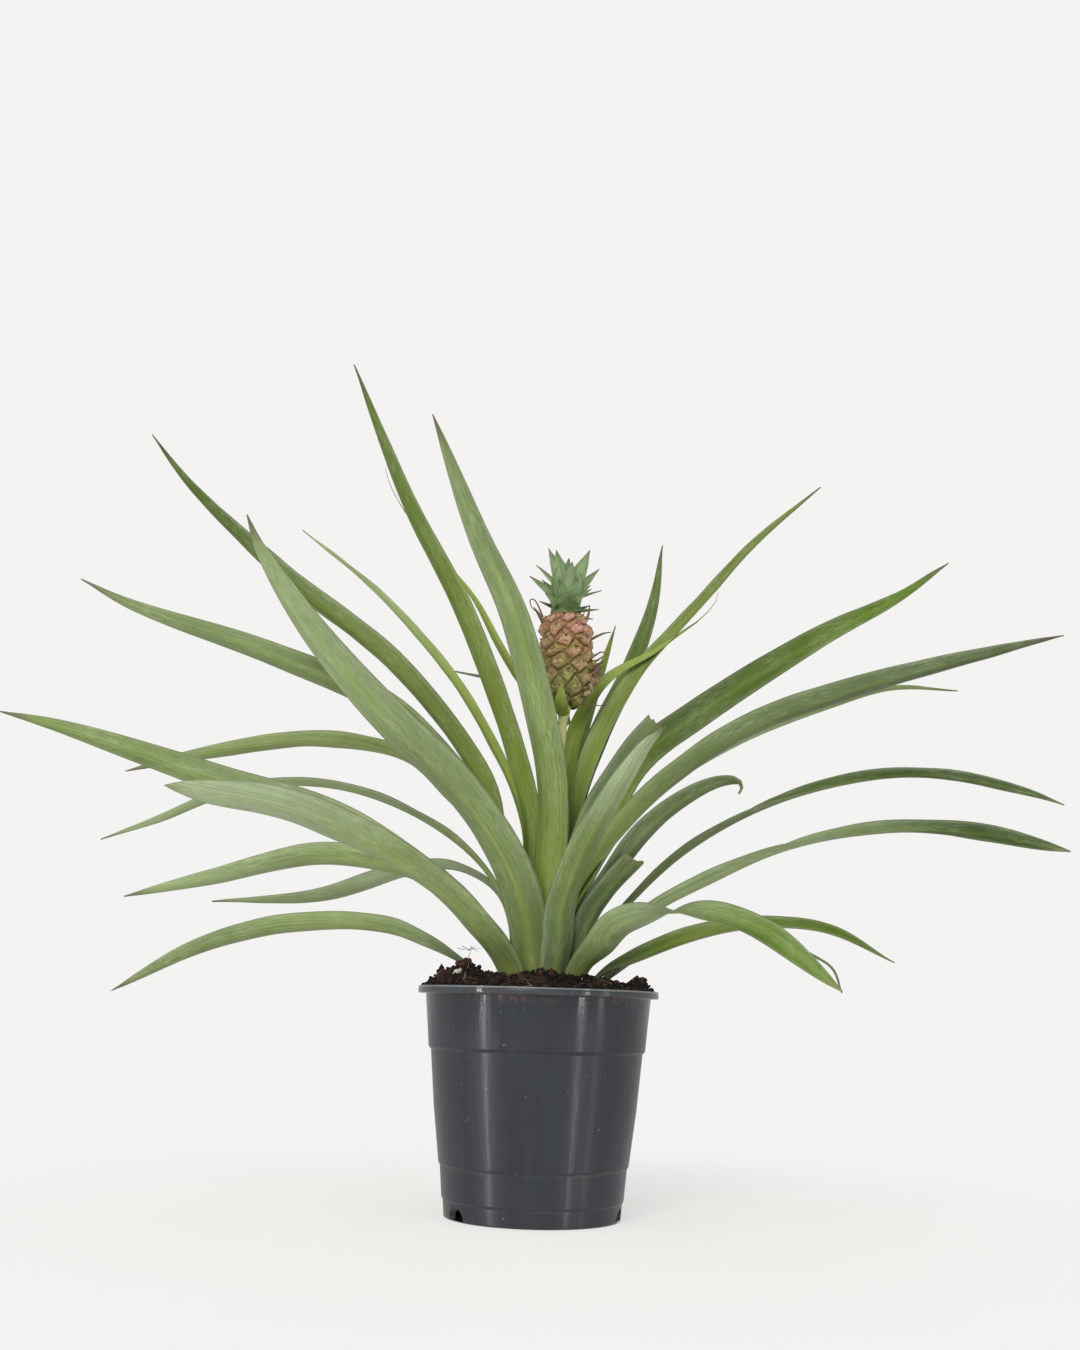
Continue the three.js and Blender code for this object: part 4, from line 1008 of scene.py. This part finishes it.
def make_fruit():
    draw = random.Random(4)
    shape = Shape()
    for row in range(FRUIT_ROWS):
        for middle in range(row % 2, 2 * FRUIT_EYES + row % 2, 2):
            fruitlet(shape, row, middle, draw)
    for end, centre in ((0, FRUIT_FOOT + UP * 0.4), (1, FRUIT_HEAD)):
        ring = [fruit_point(*groove_corner(end * FRUIT_ROWS, c), 0) for c in range(2 * FRUIT_EYES)]
        faces = [[0, 1 + k, 1 + (k + 1) % len(ring)] for k in range(len(ring))]
        shape.add([centre, *ring], faces, colour("5f5a30"))
    return shape.piece("fruit_body", FRUIT, ["fruit"], sharp=radians(75))


def add_eye(shape, row, angle, level, draw):
    """The dry tuft in an eye: a few short brown husks that lean upward."""
    husk = colour("4a3024").lerp(colour("7a4a38"), smooth(4, 7, row))
    for k in range(3):
        a = angle + draw.uniform(-0.07, 0.07)
        l = level + draw.uniform(-0.005, 0.025)
        root = fruit_point(a, l, 0.9)
        out = around(a)
        length = draw.uniform(1.4, 2.6)
        side = Vector((-sin(a), cos(a), 0)) * draw.uniform(-0.9, 0.9)
        bend = root + out * length * 0.7 + side * 0.5 + UP * length * 0.2
        tip = root + out * length + side + UP * length * draw.uniform(0.3, 0.9)
        shape.add(*tube([root, bend, tip], draw.uniform(0.22, 0.42), 5, 5), husk * draw.uniform(0.7, 1.3))


def make_dry_bits():
    shape = Shape()
    base, tip = colours("7d614c 4a3836")
    for index, (line, width) in enumerate(DRY_BRACTS):
        small_blade(shape, line, width, base, tip, cup=0.5, fullness=3, seed=index + 9)
    draw = random.Random(8)
    for x, y, z, size in WITHERED:
        skin = lump(Vector((x, y, z)), size, draw, 0.5)
        shape.add(*skin, draw.choice(colours("8f7a56 6d5540 9c8a64")))
    for line, radius, tone in DRY_THREADS:
        shape.add(*tube(line, radius), colour(tone))
    return shape.piece("dry_bits", DRY)


def make_crown():
    shape = Shape()
    for index, (tip, width, facing) in enumerate(CROWN_BLADES):
        tip = Vector(tip)
        inward = around(radians(facing))
        aside = Vector((tip.x, tip.y, 0))
        low = 0.5 + 0.12 * max(tip.z, 0)
        foot = -inward * 4 + aside * 0.18 + UP * low
        belly = -inward * 6 + aside * 0.42 + UP * lerp(low, tip.z, 0.42)
        neck = -inward * 3.5 + aside * 0.78 + UP * lerp(low, tip.z, 0.78)
        line = [CROWN_FOOT + p for p in (foot, belly, neck, tip)]
        base = colour("4f6a2c").lerp(colour("7d9468"), smooth(4, 30, tip.z) * 0.7 + 0.1 * (index % 4))
        small_blade(shape, line, width, base, colour("5d5f4a"), 16, 0.5, 2.6, inward, index + 20)
    points, faces = lathe([(0.1, -1), (8.2, -0.5), (7.6, 4), (5.5, 9), (2, 14), (0.1, 15)], 24)
    shape.add([CROWN_FOOT + p for p in points], faces, colour("4c5f2a"))
    return shape.piece("crown_leaves", LEAF, ["crown"])


# ---- Studio ----


def make_floor():
    """A pale, softly lit floor that fades into the pale backdrop away from the plant. Under the pot's foot
    it is painted almost black and doesn't glow: a painted shadow.
    """
    low = (0, 0, -0.0002)
    bpy.ops.mesh.primitive_circle_add(vertices=96, radius=FLOOR_RADIUS, fill_type="TRIFAN", location=low)
    floor = bpy.context.active_object
    floor.name = "floor"
    surface = bpy.data.materials.new("floor")
    surface.use_nodes = True
    tree = surface.node_tree
    tree.nodes.clear()
    place = place_on(tree)
    away = add(tree, "VectorMath", {0: place}, operation="LENGTH").outputs["Value"]
    mottle = grain(place, 6, 2, 0.5)
    paint = blend(remap(mottle, 0.3, 0.7), (0.50, 0.495, 0.487), (0.52, 0.515, 0.507))
    # Painted shadow: under the pot's foot the floor is painted almost black and its glow is turned off.
    under = remap(away, (FOOT_RADIUS - 2) * MM, (FOOT_RADIUS + 0.6) * MM)
    paint = blend(under, (0.01, 0.01, 0.01), paint)
    matte = add(tree, "BsdfDiffuse", {"Color": paint})
    glow = add(tree, "Emission", {"Color": FLOOR_GLOW, "Strength": under})
    lit = add(tree, "AddShader", {0: matte.outputs[0], 1: glow.outputs[0]})
    clear = add(tree, "BsdfTransparent")
    fade = remap(away, *FLOOR_FADE, way="SMOOTHSTEP")
    mixed = add(tree, "MixShader", {0: fade, 1: lit.outputs[0], 2: clear.outputs[0]})
    add(tree, "OutputMaterial", {"Surface": mixed.outputs[0]})
    floor.data.materials.append(surface)
    floor.visible_glossy = False
    floor.visible_shadow = False


def make_light(name, kind, power, way, place=(0, 0, 0)):
    data = bpy.data.lights.new(name, kind)
    data.energy = power
    made = put(name, data)
    made.location = place
    made.rotation_euler = way.to_track_quat("-Z", "Y").to_euler()
    return data


def make_lights():
    """A soft sun from the front, and tall narrow lights round the pot that draw lines down it."""
    for side, degrees, width, power in STRIP_LIGHTS:
        place = around(radians(degrees - 90), STRIP_DISTANCE)
        strip = make_light("strip_" + side, "AREA", power, -place, place)
        strip.shape = "RECTANGLE"
        strip.size, strip.size_y = width, STRIP_HEIGHT
    sun = make_light("front_soft", "SUN", 1.5, Vector((0.3, 1, -0.5)))
    sun.angle = radians(30)
    sun.color = (1, 0.985, 0.95)


def make_world():
    """Even light from all round, strongest from the front and weakest from overhead."""
    world = bpy.data.worlds.new("studio")
    bpy.context.scene.world = world
    world.use_nodes = True
    tree = world.node_tree
    tree.nodes.clear()
    toward = add(tree, "SeparateXYZ", {"Vector": add(tree, "TexCoord").outputs["Generated"]})
    front = remap(toward.outputs["Y"], -1, 1, *FRONT_TO_BACK)
    above = remap(toward.outputs["Z"], 0, 1, *SIDE_TO_TOP)
    side = remap(toward.outputs["X"], -1, 1, *LEFT_TO_RIGHT)
    strength = multiply(multiply(front, above), side)
    seen = add(tree, "Background", {"Color": BACKDROP, "Strength": 1.0})
    fill = add(tree, "Background", {"Color": (1.0, 0.995, 0.975, 1), "Strength": strength})
    camera_ray = add(tree, "LightPath").outputs["Is Camera Ray"]
    mixed = add(tree, "MixShader", {0: camera_ray, 1: fill.outputs[0], 2: seen.outputs[0]})
    add(tree, "OutputWorld", {"Surface": mixed.outputs[0]})


def make_camera():
    """The photograph's viewpoint: just above the rim, looking up a little, with a slight roll."""
    focal, height, principal = 1506, 1350, 796.5
    data = bpy.data.cameras.new("camera")
    data.lens = focal / height * data.sensor_width
    data.shift_y = (principal - height / 2) / height
    data.clip_start = 0.01
    made = put("camera", data)
    pitch = Matrix.Rotation(radians(90 + 8.1), 4, "X")
    roll = Matrix.Rotation(radians(1.73), 4, "Z")
    made.matrix_world = Matrix.Translation((-0.0022, -0.760, 0.1001)) @ pitch @ roll
    bpy.context.scene.camera = made


# ---- Put together ----

make_camera()
make_pot()
make_peat()
make_crumbs()
make_perlite()
make_fibres()
for leaf_index, leaf_row in enumerate(LEAVES):
    make_leaf(leaf_index, *leaf_row)
make_stalk()
make_fruit()
make_crown()
make_dry_bits()
make_floor()
make_lights()
make_world()
bpy.context.scene.view_settings.view_transform = "Standard"
bpy.context.scene.view_settings.look = "None"
